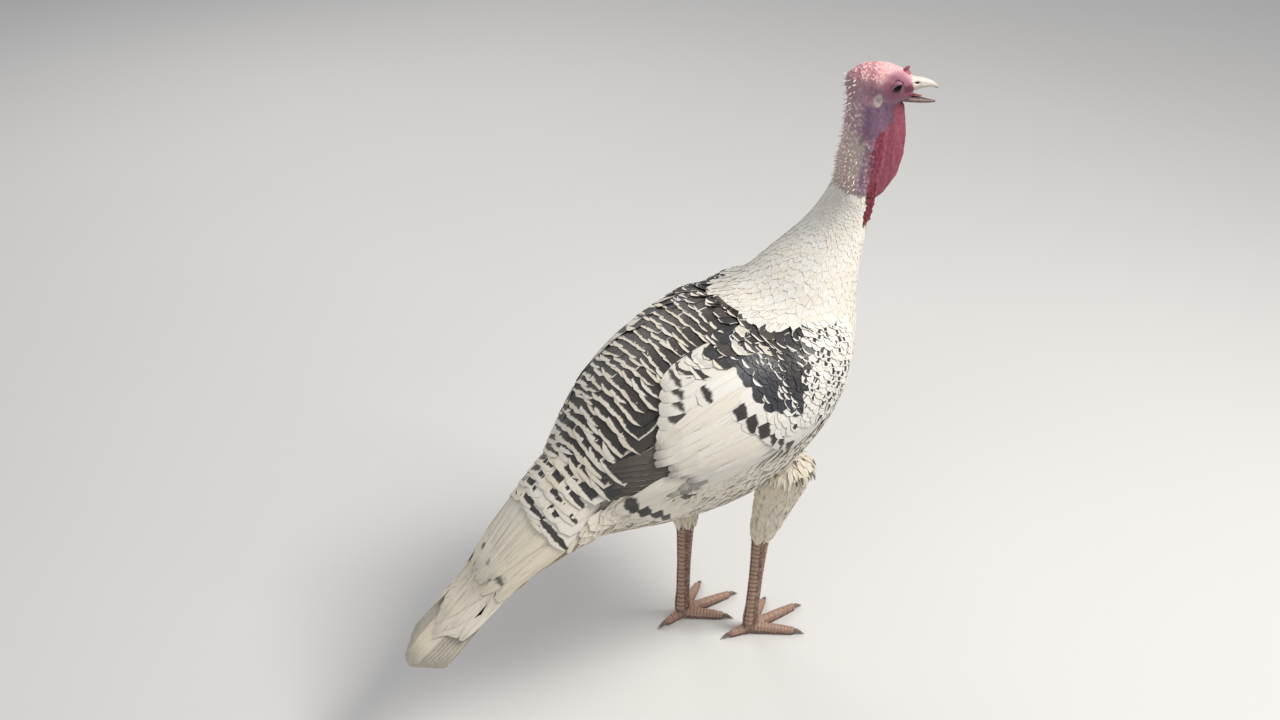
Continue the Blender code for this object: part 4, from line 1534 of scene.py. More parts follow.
# %% Zones of the face
to_eye = np.min([np.linalg.norm(spots - middle, axis=1) for middle in EYE_SPOTS.values()], axis=0)
lid = smooth_step(EYE_RADIUS + 2.3 * MM, EYE_RADIUS + 1.0 * MM, to_eye)
lid_rise = up * math.cos(LID_TILT) - ahead * math.sin(LID_TILT)
# A pale band along the upper lid's rim is a painted highlight, where light from above catches the lid.
on_rim = smooth_step(1.2 * MM, 2.2 * MM, lid_rise) * smooth_step(4.4 * MM, 3.6 * MM, lid_rise)
upper_lid_highlight = lid * on_rim
face = smooth_step(0.021, 0.011, to_eye) * (1 - lid)
gape = spot(spots, (0.0155, 0.0115, -0.0115), (0.0042, 0.0046, 0.0026))
lore = spot(spots, (0.014, 0.013, -0.003), (0.009, 0.009, 0.007))
ear = spot(spots, (-0.0205, 0.0165, -0.0165), (0.0085, 0.010, 0.0125))
ear_edge = 0.55 * clouds(spots, 4.5 * MM) + 0.25 * clouds(spots, 1.8 * MM)
ear = smooth_step(0.30, 0.85, ear + ear_edge)
crown = smooth_step(-0.004, 0.008, up + 0.20 * np.minimum(ahead + 0.02, 0))
crown = bare * crown * (1 - lid) * (1 - face * 0.6)
snood = smooth_step(1.5 * MM, 0.5 * MM, distance_to(spots, "snood"))
behind = smooth_step(-0.008, -0.030, ahead)
print("points of the face", int((face > 0.5).sum()), "of the ears", int((ear > 0.5).sum()))

# %% [markdown]
# Down the neck the zones follow the wattle, the fold of skin that hangs below the throat. Close to
# it the neck is red, then a dark line, then lilac. The berries are the large grains at the foot.

# %% Zones of the neck
to_wattle = distance_to(spots, "dewlap")
dewlap = smooth_step(2.6 * MM, 0.8 * MM, to_wattle) * (up < -0.012) * (1 - leg)
to_wattle = to_wattle + 2.2 * MM * clouds(spots, 9 * MM) + 1.2 * MM * clouds(spots, 3 * MM)
wattle_red = smooth_step(9.5 * MM, 5.5 * MM, to_wattle) * (1 - leg) * smooth_step(-0.040, -0.060, up)
wattle_edge = smooth_step(13 * MM, 9.5 * MM, to_wattle) * smooth_step(2.0 * MM, 4.5 * MM, to_wattle)
wattle_edge = wattle_edge * (up < -0.055)
throat_low = up + 0.051 - 0.50 * np.minimum(ahead, 0.012) - 0.009 * clouds(spots, 8 * MM)
throat_front = ahead + 0.003 * clouds(spots, 6 * MM)
throat = smooth_step(-0.003, 0.003, throat_low) * smooth_step(0.004, -0.004, throat_front)
throat = throat * smooth_step(-0.043, -0.030, ahead) * smooth_step(-0.018, -0.027, up) * (1 - leg)
nape = bare * smooth_step(-0.030, -0.044, ahead) * smooth_step(-0.13, -0.10, up)
low_nape = bare * smooth_step(32, 54, skin_up) * smooth_step(-0.045, -0.075, up)
front_neck = bare * (1 - dewlap) * smooth_step(62, 36, front_turn) * (up < -0.03)
berries = bare * (1 - dewlap) * smooth_step(50, 42, front_turn) * smooth_step(14.3, 13.9, skin_station)
neck = bare * smooth_step(-0.014, -0.030, up) * (1 - dewlap)
# The feathered part of the neck is drawn in, to leave room for its coat.
on_neck = (skin_station > 11.5) * (1 - dewlap) * (skin_station < 14.3)
sink = np.clip(height + skin_depth(skin_station, skin_turn), 0, None) * on_neck
spots -= body_ways[nearest] * sink[:, None]
# The snood is a small one: it shrinks towards its root.
snood_share = 0.34 * smooth_step(0.0, 0.7, snood) * smooth_step(11.5 * MM, 15 * MM, up)
spots += (from_head(5.5, 0, 13) - spots) * snood_share[:, None]
set_coordinates(skin, spots)
print("neck drawn in by up to", round(float(sink.max()) * 1000, 1), "mm")

# %% [markdown]
# Each zone gets its own mixture of grains, folds and clouds, in millimetres of height. The sines
# make the fine rings round the eye and along the snood.

# %% Grains and folds of the head and neck


def only(active, measure, points, *settings):
    """A measure of the active points, and 0 at all others."""
    values = np.zeros(len(active))
    values[active] = measure(points[active], *settings)
    return values


def rings(distance, pitch):
    return np.sin(distance * 2 * math.pi / (pitch * MM))


active = bare > 0.01
fine = only(active, beads, spots, 1.9 * MM)
middle = only(active, beads, spots * (1, 1, 0.85), 4.3 * MM, 0.46)
coarse = only(active, beads, spots + 0.3, 3.0 * MM, 0.5)
big = only(active, beads, spots + 0.01, 6.2 * MM)
soft = only(active, clouds, spots, 7 * MM)
folds = only(active, clouds, np.stack([ahead, left, up * 0.22], -1), 4.5 * MM)
creases = only(active, clouds, np.stack([ahead * 2.2, left * 0.5, up * 2.2], -1), 5.0 * MM)
scalp = crown * (1 - np.clip(face + lore + ear + lid, 0, 1))
side_neck = neck * (1 - nape) * (1 - throat) * (1 - berries)
relief = scalp * (0.28 * fine + 0.30 * creases + 0.15 * soft + 0.6 * behind * coarse)
relief += nape * (0.8 * middle + 0.4 * coarse)
relief += side_neck * (0.9 * middle + 0.25 * coarse + 0.3 * soft)
relief += front_neck * (1 - berries) * 0.8 * np.abs(folds)
relief += berries * (2.6 * big + 0.8 * middle - 0.6)
relief += dewlap * (0.40 * fine + 0.30 * folds + 0.4 * soft + 0.25 * coarse)
relief += throat * (1 - dewlap) * (0.35 * folds + 0.15 * fine)
relief += face * 0.22 * rings(to_eye, 2.2) * (0.6 + 0.6 * soft)
relief += ear * (0.35 + 0.2 * fine)
relief -= 1.3 * spot(spots, (-0.0205, 0.0185, -0.0155), (0.0026, 0.006, 0.0030))
relief += snood * (0.35 * rings(up, 2.6) + 0.2 * fine)
relief *= bare
dots = smooth_step(0.05, 0.5, middle) + 0.35 * smooth_step(0.3, 0.8, coarse)
crown_grain = fine * 0.8 * (1 - behind) + smooth_step(0.05, 0.5, coarse) * behind
grain = np.clip(crown * crown_grain + neck * dots + berries * big, 0, 1)
print("deepest wart", round(float(relief.max()), 2), "mm")

# %% [markdown]
# The legs are clad in horn. Down the front of the shank and over the toes run broad plates, each
# lapping over the next, and the sides and soles have small round scales.

# %% Plates of the legs
PLATE_HEIGHT, TOE_PLATE = 7.5 * MM, 4.6 * MM
TOE_TOP = 0.019


def vertices_of(node):
    return np.array([v.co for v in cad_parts[node].data.vertices])


def steps(length, pitch, rise, fall):
    """Plates that lap over each other: each climbs over a share of its pitch, and then falls off."""
    phase = (length / pitch) % 1.0
    return smooth_step(0.0, rise, phase) * smooth_step(1.0, fall, phase)


plate = np.zeros(len(spots))
shod = leg > 0.01
pebbles = only(shod, beads, spots, 2.1 * MM)
for side, sign in SIDES.items():
    low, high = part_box("shank_" + side)
    mine = shod & (spots[:, 1] * sign > 0)
    share = np.clip((spots[:, 2] - low.z) / (high.z - low.z), 0, 1)
    toes = toe_nodes(side)
    toe_low, toe_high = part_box(toes[0])
    foot = np.array((toe_low.x + 0.006, (toe_low.y + toe_high.y) / 2))
    hock = np.array((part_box("thigh_" + side)[0].x + 0.0258, foot[1]))
    centre = foot + (hock - foot) * share[:, None]
    angle = np.degrees(np.arctan2(np.abs(spots[:, 1] - centre[:, 1]), spots[:, 0] - centre[:, 0]))
    column = np.where(spots[:, 1] > centre[:, 1], 0.0, 0.5) + 0.15 * np.sin(angle / 30)
    on_plate = steps(spots[:, 2] + column * PLATE_HEIGHT, PLATE_HEIGHT, 0.16, 0.55)
    front, rear = smooth_step(78, 66, angle), smooth_step(118, 130, angle)
    front_plate = front * on_plate * smooth_step(3, 10, angle) * smooth_step(74, 62, angle)
    rear_plate = rear * on_plate * smooth_step(177, 170, angle) * smooth_step(120, 132, angle)
    value = front_plate + rear_plate + (1 - front) * (1 - rear) * pebbles * 0.7
    on_shank = mine & (spots[:, 2] > TOE_TOP)
    plate[on_shank] = value[on_shank]
    nearest_toe = np.argmin([distance_to(spots[mine], toe) for toe in toes], axis=0)
    for number, toe in enumerate(toes):
        chosen = np.flatnonzero(mine)[nearest_toe == number]
        chosen = chosen[spots[chosen, 2] <= TOE_TOP]
        points = vertices_of(toe)[:, :2]
        way = unit(points[np.argmax(np.linalg.norm(points - foot, axis=1))] - foot)
        on_top = smooth_step(-0.15, 0.25, ways[chosen, 2])
        scute = steps((spots[chosen, :2] - foot) @ way, TOE_PLATE, 0.20, 0.72)
        plate[chosen] = on_top * scute + (1 - on_top) * pebbles[chosen] * 0.6
relief += leg * 0.55 * (plate - 0.6) * smooth_step(0.0004, 0.004, spots[:, 2])
spots = spots + ways * (relief * MM)[:, None]
print("plates on", int(shod.sum()), "points")

# %% [markdown]
# No skin may cross the front of an eye, so what lies between the lids is pressed in behind the
# eyeball. And no skin may reach below the floor.

# %% Eyes and soles kept clear
for side, sign in SIDES.items():
    away = spots - EYE_SPOTS[side]
    long = away @ AHEAD * math.cos(LID_TILT) + away @ UP * math.sin(LID_TILT)
    short = away @ UP * math.cos(LID_TILT) - away @ AHEAD * math.sin(LID_TILT)
    opening = (long / (5.0 * MM)) ** 2 + (short / np.where(short > 0, 2.6 * MM, 3.2 * MM)) ** 2
    near = (away @ LEFT * sign > 0) & (np.linalg.norm(away, axis=1) < 2 * EYE_RADIUS)
    between_lids = (opening < 1) & near
    far = np.linalg.norm(away[between_lids], axis=1)
    pressed = np.minimum(far, 0.84 * EYE_RADIUS) / np.maximum(far, 1e-6)
    spots[between_lids] = EYE_SPOTS[side] + away[between_lids] * pressed[:, None]
    print("between the lids of the", side, "eye:", int(between_lids.sum()), "points")


def set_above_floor(mesh, spots):
    spots[:, 2] = np.maximum(spots[:, 2], 0.0)
    set_coordinates(mesh, spots)


set_above_floor(skin, spots)

# %% [markdown]
# ## The finish of the skin
# Each zone of the skin was measured above as a number from 0 to 1 at every point. The finish lays
# one colour over another, zone by zone: the lilac neck with its pale grains first, then the crown,
# the face, the red around the wattle, the throat, the lids and the ear, and last the horn of the
# legs. Under the coat it takes the plumage's own colours, so that no gap between feathers shows.

# %% Skin finish


def keep_zones(mesh, zones):
    for name, values in zones.items():
        store(mesh, name, np.clip(values, 0, 1))


dark_back = smooth_step(4.6, 5.6, skin_station) * smooth_step(9.9, 9.4, skin_station)
keep_zones(skin, {
    "plume": plume, "ink": dark_back * smooth_step(48, 56, skin_up), "neck": neck, "crown": crown,
    "face": face, "lore": lore, "lid": lid, "upper_lid_highlight": upper_lid_highlight, "ear": ear, "gape": gape,
    "throat": throat, "nape": nape, "low_nape": low_nape, "front": front_neck, "berries": berries,
    "dewlap": np.maximum(dewlap, snood), "near_red": wattle_red * bare, "red_edge": wattle_edge * bare,
    # The fold zone is high in the hollows of the wattle's folds, for painted shade there.
    "grain": grain, "fold": 0.5 - 0.5 * np.clip(folds * 2.2, -1, 1), "behind": behind,
    "leg": leg, "plate": plate,
})
skin_finish = Finish("skin", "bare_skin", {
    "Specular IOR Level": 0.4, "Subsurface Weight": 0.06, "Subsurface Scale": 0.004,
})
read, where = skin_finish.read, skin_finish.here()
mottle, speckle = skin_finish.noise(where, 260, 3.0), skin_finish.noise(where, 900)
patchy = skin_finish.noise(where, 90)
grains, plates = read("grain"), read("plate")
pink = layered(
    mottle.step(0.35, 0.7).mix(rgb(0.72, 0.40, 0.40), rgb(0.62, 0.27, 0.30)),
    (read("behind") * 0.6, rgb(0.34, 0.11, 0.15)),
    (grains * 0.8, rgb(0.86, 0.62, 0.57)),
)
magenta = layered(
    # On the wattle, where the same noise sinks the skin into folds, the hollows are painted darker: painted
    # shade in the creases. On the snood it is only a mottle.
    (read("fold").step(0.2, 0.8) * 0.40).mix(rgb(0.34, 0.085, 0.125), rgb(0.20, 0.028, 0.055)),
    (speckle.step(0.40, 0.70) * 0.4, rgb(0.46, 0.16, 0.21)),
    (mottle.step(0.45, 0.70) * 0.5, rgb(0.28, 0.045, 0.085)),
)
dusk = layered(
    mottle.step(0.3, 0.7).mix(rgb(0.13, 0.085, 0.15), rgb(0.23, 0.13, 0.19)),
    (patchy.step(0.5, 0.7) * 0.6, rgb(0.22, 0.06, 0.10)),
)
horn = layered(
    mottle.mix(rgb(0.44, 0.28, 0.20), rgb(0.30, 0.18, 0.13)),
    (1 - plates.step(0.1, 0.6), rgb(0.11, 0.065, 0.048)),
    (patchy.step(0.5, 0.75) * 0.6, rgb(0.34, 0.27, 0.23)),
)
skin_finish.feed("Base Color", layered(
    mottle.step(0.3, 0.7).mix(rgb(0.34, 0.18, 0.22), rgb(0.21, 0.11, 0.16)),
    (read("neck") * patchy.step(0.42, 0.66) * 0.8, rgb(0.19, 0.14, 0.23)),
    (read("neck") * grains * 0.55, rgb(0.52, 0.42, 0.46)),
    (read("nape") * 0.45, rgb(0.50, 0.33, 0.34)),
    (read("low_nape") * (0.55 + mottle * 0.4), rgb(0.52, 0.43, 0.36)),
    (read("nape") * grains * 0.7, rgb(0.76, 0.64, 0.58)),
    (read("crown"), pink),
    (read("face") * 0.9, mottle.mix(rgb(0.22, 0.06, 0.10), rgb(0.33, 0.12, 0.18))),
    (read("lore"), rgb(0.13, 0.03, 0.055)),
    (read("front") * 0.9, mottle.mix(rgb(0.36, 0.04, 0.07), rgb(0.22, 0.03, 0.06))),
    (read("near_red") * 0.85, mottle.mix(rgb(0.30, 0.05, 0.10), rgb(0.21, 0.05, 0.10))),
    (read("red_edge") * mottle.step(0.32, 0.55) * 0.85, rgb(0.13, 0.015, 0.032)),
    (read("berries"), grains.mix(rgb(0.075, 0.006, 0.012), rgb(0.20, 0.016, 0.030))),
    (read("dewlap"), magenta),
    (read("throat") * 0.92, dusk),
    (read("gape"), rgb(0.26, 0.025, 0.045)),
    (read("lid") * 0.9, mottle.mix(rgb(0.16, 0.07, 0.10), rgb(0.10, 0.04, 0.06))),
    # Painted highlight: the pale upper rim of the lid.
    (read("upper_lid_highlight") * 0.9, mottle.mix(rgb(0.40, 0.32, 0.35), rgb(0.27, 0.19, 0.23))),
    (read("ear"), speckle.step(0.35, 0.7).mix(rgb(0.56, 0.48, 0.44), rgb(0.33, 0.25, 0.24))),
    (read("leg"), horn),
    (read("plume"), read("ink").mix(rgb(0.50, 0.45, 0.38), rgb(0.03, 0.028, 0.027))),
))
skin_finish.feed("Roughness", 0.62 - grains * 0.12 - plates * 0.15)
skin_finish.bump(speckle * 0.6 + mottle * 0.6, 0.3 * MM, 0.7)
store_map(skin, np.stack([skin_turn / 360, skin_station / body.last], 1))


def finished(mesh, name, finish):
    """A smooth piece by that name."""
    mesh.shade_smooth()
    mesh.name = name
    return place(mesh, finish)


skin_piece = finished(skin, "skin", skin_finish)
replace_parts(skin_piece, *HEAD_NODES, "trunk")
for side in SIDES:
    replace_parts(skin_piece, "thigh_" + side, "shank_" + side, *toe_nodes(side))
print("skin finish nodes", len(skin_finish.tree.nodes))

# %% [markdown]
# ## Eyes, bill, tongue and claws
# These are hard or wet things, so each is its own piece with its own finish. The eyeball bulges a
# little more in front of the pupil, as a real cornea does, so it catches a round highlight.

# %% Eyes
EYE_RINGS, EYE_COLUMNS = 28, 40
CORNEA = 0.05


def ball(name, centre, gaze, radius):
    """A closed eyeball with its pole at the pupil. Each point keeps its degrees from the gaze."""
    gaze = unit(gaze)
    first = unit(np.cross(gaze, UP))
    second = np.cross(first, gaze)
    # The rings lie closer together near the pupil.
    angles = math.pi * (np.arange(1, EYE_RINGS) / EYE_RINGS) ** 1.15
    swell = radius * (1 + CORNEA * smooth_step(42, 20, np.degrees(angles)))
    turns = 2 * math.pi * np.arange(EYE_COLUMNS)[:, None] / EYE_COLUMNS
    around = first * np.cos(turns) + second * np.sin(turns)
    angle = angles[:, None, None]
    loops = centre + (gaze * np.cos(angle) + around * np.sin(angle)) * swell[:, None, None]
    made = pole_capped(name, loops, centre + gaze * radius * (1 + CORNEA), centre - gaze * radius)
    made.shade_smooth()
    store(made, "angle", np.append(np.repeat(np.degrees(angles), EYE_COLUMNS), (0.0, 180.0)))
    return made


eye_finish = Finish("eye", "eye_gloss", {
    "Coat Weight": 0.05, "Coat Roughness": 0.03, "Specular IOR Level": 0.16,
})
angle, fibres = eye_finish.read("angle"), eye_finish.noise(eye_finish.here(), 1400)
hidden = angle.step(48, 54)
iris = fibres.mix(rgb(0.060, 0.028, 0.015), rgb(0.030, 0.014, 0.008))
iris = (1 - angle.step(34, 56)).mix(rgb(0.030, 0.014, 0.009), iris)
# What shows beyond the iris takes the colour of the face, as skin between eye and lid does.
outer = hidden.mix(iris, fibres.mix(rgb(0.26, 0.09, 0.13), rgb(0.17, 0.05, 0.08)))
eye_finish.feed("Base Color", angle.step(30, 34).mix(rgb(0.002, 0.002, 0.002), outer))
eye_finish.feed("Roughness", 0.10 + hidden * 0.5)
for side, sign in SIDES.items():
    gaze = LEFT * sign + AHEAD * 0.10 + UP * 0.05
    eye = ball("eye_" + side, EYE_SPOTS[side], gaze, EYE_RADIUS)
    flat = (coordinates(eye) - EYE_SPOTS[side]) / EYE_RADIUS
    store_map(eye, 0.5 + 0.4 * np.stack([flat @ AHEAD, flat @ UP], 1))
    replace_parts(place(eye, eye_finish), "eye_" + side)
print("eyes of", len(eye.polygons), "faces each")

# %% [markdown]
# The bill is horn: pale and chalky above, brown below, with fine growth lines along it. The
# nostrils are slots in soft skin near its root, pressed in a little and painted near black as painted shade
# of their openings. The mouth is a little open, as the bird calls.

# %% Bill
bill_finish = Finish("bill", "bill_horn", {
    "Specular IOR Level": 0.5, "Coat Weight": 0.15, "Coat Roughness": 0.3,
})
read = bill_finish.read
growth = bill_finish.noise(bill_finish.vector("grain_line"), 1.0, 3.0)
stain = bill_finish.noise(bill_finish.here(), 220, 3.0)
bands = growth.step(0.3, 0.75)
bill_finish.feed("Base Color", layered(
    bands.mix(rgb(0.66, 0.60, 0.54), rgb(0.50, 0.43, 0.38)),
    (read("lower"), bands.mix(rgb(0.17, 0.092, 0.082), rgb(0.10, 0.054, 0.048))),
    (stain.step(0.5, 0.75) * 0.35, rgb(0.30, 0.22, 0.19)),
    (read("tip") * 0.8, rgb(0.085, 0.060, 0.052)),
    (read("root") * 0.75, read("lower").mix(rgb(0.52, 0.45, 0.49), rgb(0.20, 0.085, 0.10))),
    # The nostril's near-black is painted shade of its opening, over a shallow dent.
    (read("nostril"), rgb(0.010, 0.006, 0.006)),
))
bill_finish.feed("Roughness", 0.42 + stain * 0.2)
bill_finish.bump(growth * 0.8 + stain * 0.4, 0.2 * MM, 0.6)
for name, is_lower in (("bill_upper", 0.0), ("bill_lower", 1.0)):
    bill = fused(name, [name], 0.55 * MM, 0.2 * MM)
    spots, ways = coordinates(bill), facing(bill)
    ahead, left, up = on_head(spots)
    nostril = spot(spots, (0.0225, 0.0050, 0.0020), (0.0055, 0.0045, 0.0026)) * (1 - is_lower)
    cere = smooth_step(0.024, 0.014, ahead) * (1 - is_lower)
    swell = 0.7 * cere - 1.9 * nostril + 0.10 * clouds(spots * (1, 1, 1.6), 3 * MM)
    set_coordinates(bill, spots + ways * (swell * MM)[:, None])
    low, high = ahead.min(), ahead.max()
    keep_zones(bill, {
        "lower": np.full(len(spots), is_lower), "nostril": smooth_step(0.35, 0.7, nostril),
        "tip": smooth_step(high - 0.008, high - 0.001, ahead) * (0.35 + 0.65 * is_lower),
        "root": smooth_step(low + 0.014, low + 0.005, ahead),
    })
    store(bill, "grain_line", np.stack([ahead * 60, left * 700, up * 700], -1))
    flat = np.stack([0.5 + np.arctan2(left, up - up.mean()) / 7.0, (ahead - low) / (high - low)], 1)
    store_map(bill, np.clip(flat, 0, 1))
    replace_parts(finished(bill, name, bill_finish), name)
    print(name, len(bill.polygons), "faces")

# %% [markdown]
# The tongue is the one wet thing inside the mouth, so a clear coat lies over its pink.

# %% Tongue
tongue_finish = Finish("tongue", "mouth_skin", {
    "Specular IOR Level": 0.5, "Coat Weight": 0.5, "Coat Roughness": 0.15,
})
wet = tongue_finish.noise(tongue_finish.here(), 500)
tongue_finish.feed("Base Color", wet.mix(rgb(0.55, 0.12, 0.13), rgb(0.36, 0.05, 0.07)))
tongue_finish.feed("Roughness", 0.25 + wet * 0.2)
tongue = fused("tongue", ["tongue"], 0.5 * MM, 0.0)
ahead, left, up = on_head(coordinates(tongue))
flat = np.stack([0.5 + left / 0.02, (ahead - ahead.min()) / (ahead.max() - ahead.min())], 1)
store_map(tongue, np.clip(flat, 0, 1))
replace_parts(finished(tongue, "tongue", tongue_finish), "tongue")
print("tongue", len(tongue.polygons), "faces")

# %% [markdown]
# The claws are horn as well, darker than the bill, worn pale at their tips and dusty from the
# ground. A claw's tip is its vertex that lies farthest from the middle of its toe.

# %% Claws
claw_finish = Finish("claw", "claw_horn", {"Specular IOR Level": 0.5})
where = claw_finish.here()
horn, dust = claw_finish.noise(where, 420, 3.0), claw_finish.noise(where, 120)
claw_finish.feed("Base Color", layered(
    horn.step(0.3, 0.7).mix(rgb(0.20, 0.145, 0.11), rgb(0.10, 0.072, 0.058)),
    (dust.step(0.45, 0.7) * 0.5, rgb(0.32, 0.25, 0.20)),
    (claw_finish.read("tip"), rgb(0.42, 0.36, 0.30)),
))
claw_finish.feed("Roughness", 0.38 + dust * 0.3)
claw_finish.bump(horn, 0.15 * MM, 0.6)
toes = [toe for side in SIDES for toe in toe_nodes(side)]
claw_nodes = [toe.replace("toe", "claw") for toe in toes]
claws = fused("claws", claw_nodes, 0.5 * MM, 0.25 * MM)
spots = coordinates(claws)
set_above_floor(claws, spots)
tips = np.zeros(len(spots))
for toe, claw in zip(toes, claw_nodes):
    toe_low, toe_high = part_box(toe)
    points = vertices_of(claw)
    far = np.linalg.norm(points - np.array((toe_low + toe_high) / 2), axis=1)
    near = np.linalg.norm(spots - points[np.argmax(far)], axis=1)
    tips = np.maximum(tips, smooth_step(0.007, 0.002, near))
keep_zones(claws, {"tip": tips})
low, high = spots.min(0), spots.max(0)
store_map(claws, (spots[:, :2] - low[:2]) / (high[:2] - low[:2]))
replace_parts(finished(claws, "claws", claw_finish), *claw_nodes)
print("claws", len(claws.polygons), "faces")

# %% [markdown]
# ## Down the legs and up the nape
# The thighs wear short, fluffy feathers that point down to the hock, each thigh on its own map.

# %% Thigh feathers
def everywhere(station, turn):
    """Lets a feather grow at every place."""
    return np.full(np.shape(turn), True)


for side, field in thighs.items():
    station, turn = staggered(
        field, 2.9, 0.42, lambda s: 8 * MM, lambda s: 8.5 * MM, everywhere, jitter=0.3,
    )
    count = len(station)
    size = between(station, (0.4, 17 * MM), (1.2, 26 * MM), (3.0, 34 * MM))
    feathers(f"coat_thigh_{side}", white_plumage, field, {
        "station": station, "turn": turn,
        "length": size * chance(count, 0.85, 1.15), "width": size * chance(count, 0.42, 0.58),
        "low": -between(station, (0.4, 2.4 * MM), (1.5, 4.5 * MM)),
        "high": chance(count, 0.0, 1.0) * between(station, (0.4, 1.2 * MM), (1.5, 1.6 * MM)),
        "tilt": spread(count, 0.08), "heading": spread(count, 0.12), "bend": spread(count, 0.15),
        "camber": 0.06, "taper": 0.40, "round": 0.30, "ragged": 0.10, "thick": 0.2 * MM,
        "tone": chance(count, 0, 0.8), "warm": chance(count, 0.5, 0.95), "edge": 0.04, "lined": 0.15,
    }, rows=SHORT_ROWS)

# %% [markdown]
# A thigh's rounded top lies beyond its map, so its feathers are laid one by one. Each gets a root on
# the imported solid, the way the surface faces there, and the way it should point.

# %% Tops of the thighs
TOP_DEPTH, TOP_FULL = 0.056, 0.030
VANE_THICK = 0.15 * MM


def squared(ways, aim):
    """Directions with their share along some aims taken out."""
    return ways - aim * (ways * aim).sum(1)[:, None]


def laid(name, roots, ways, flow, plan, rows=SHORT_ROWS, columns=4):
    """Feathers on single spots: each lies in the plane that faces its way, and points along a flow."""
    plan = {"round": 0.3, "ragged": 0.07, "taper": 0.35, **plan}
    each = for_each(plan, len(roots))
    u, v, reach, ahead, aside, _ = outline(each, len(roots), rows, columns)
    ways = unit(ways)
    flow = unit(squared(flow, ways))
    over = np.stack([roots[:, 1] * 2 + 0.5, roots[:, 0] * 2 + 0.3], 1)
    roots, ways, flow, sideways, over = (
        values[:, None, None] for values in (roots, ways, flow, np.cross(ways, flow), over)
    )
    sag = (ahead**2 + aside**2) / (2 * plan["roundness"])
    high = each("low") + (each("high") - each("low")) * u - sag
    top = roots + ahead[..., None] * flow + aside[..., None] * sideways + high[..., None] * ways
    spots = over + np.stack([v * PATCH / 2 * np.ones_like(reach), (0.5 - reach) * PATCH], -1)
    low, spots = top - ways * VANE_THICK, np.clip(spots, 0, 1)
    dressed(name, white_plumage, top, low, spots, reach, v, ahead, aside, plan)


def scattered(node, above, gap):
    """Spots over a node's upper part, at least a gap apart, with the way the surface faces."""
    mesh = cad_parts[node].data
    mesh.calc_loop_triangles()
    spots, ways = [], []
    for triangle in mesh.loop_triangles:
        a, b, c = (np.array(mesh.vertices[i].co) for i in triangle.vertices)
        for _ in range(int(triangle.area / (0.6 * gap) ** 2) + 1):
            r, t = CHANCE.uniform(0, 1, 2)
            r, t = (r, t) if r + t < 1 else (1 - r, 1 - t)
            spots.append(a + (b - a) * r + (c - a) * t)
            ways.append(np.array(triangle.normal))
    spots, ways = np.array(spots), np.array(ways)
    kept = []
    for index in CHANCE.permutation(np.flatnonzero(spots[:, 2] > above)):
        if not kept or np.min(np.linalg.norm(spots[kept] - spots[index], axis=1)) > gap:
            kept.append(int(index))
    return spots[kept], ways[kept]


for side in SIDES:
    low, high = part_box("thigh_" + side)
    roots, ways = scattered("thigh_" + side, high.z - TOP_DEPTH, 4.3 * MM)
    outside = nearest_on_body(roots)[1]
    fuller = smooth_step(high.z - TOP_DEPTH, high.z - TOP_FULL, roots[:, 2])
    shown = (outside > -12 * MM) & (chance(len(roots), 0, 1) < fuller)
    roots, ways = roots[shown], ways[shown]
    count = len(roots)
    flow = (roots - np.array((low + high) / 2)) * (1, 1, 0) / 0.05
    flow = flow + (0.0, 0.0, -1.0) + 0.10 * CHANCE.normal(0, 1, (count, 3))
    laid(f"coat_thigh_top_{side}", roots, ways, flow, {
        "length": chance(count, 14 * MM, 26 * MM), "width": chance(count, 6.5 * MM, 9 * MM),
        "low": -4.0 * MM, "high": -2.2 * MM, "roundness": 0.024,
        # Their duskier tone and heavy grey edges and lines are partly the real dark streaks of the thigh's
        # top and partly painted shade of the crease above it. The few dark bars are its brown spots.
        "tone": chance(count, 0.5, 1.0), "warm": chance(count, 0.5, 0.9), "edge": 0.34, "lined": 0.60,
        "dark": 0.9 * (chance(count, 0, 1) < 0.22), "bar_from": 0.50, "bar_to": 0.95, "wide": 0.6,
    })

# %% [markdown]
# The crease between belly and thigh is bridged by longer flank feathers. Each is rooted on the
# body, a little above the crease, and arches over it to rest its tip on the thigh.

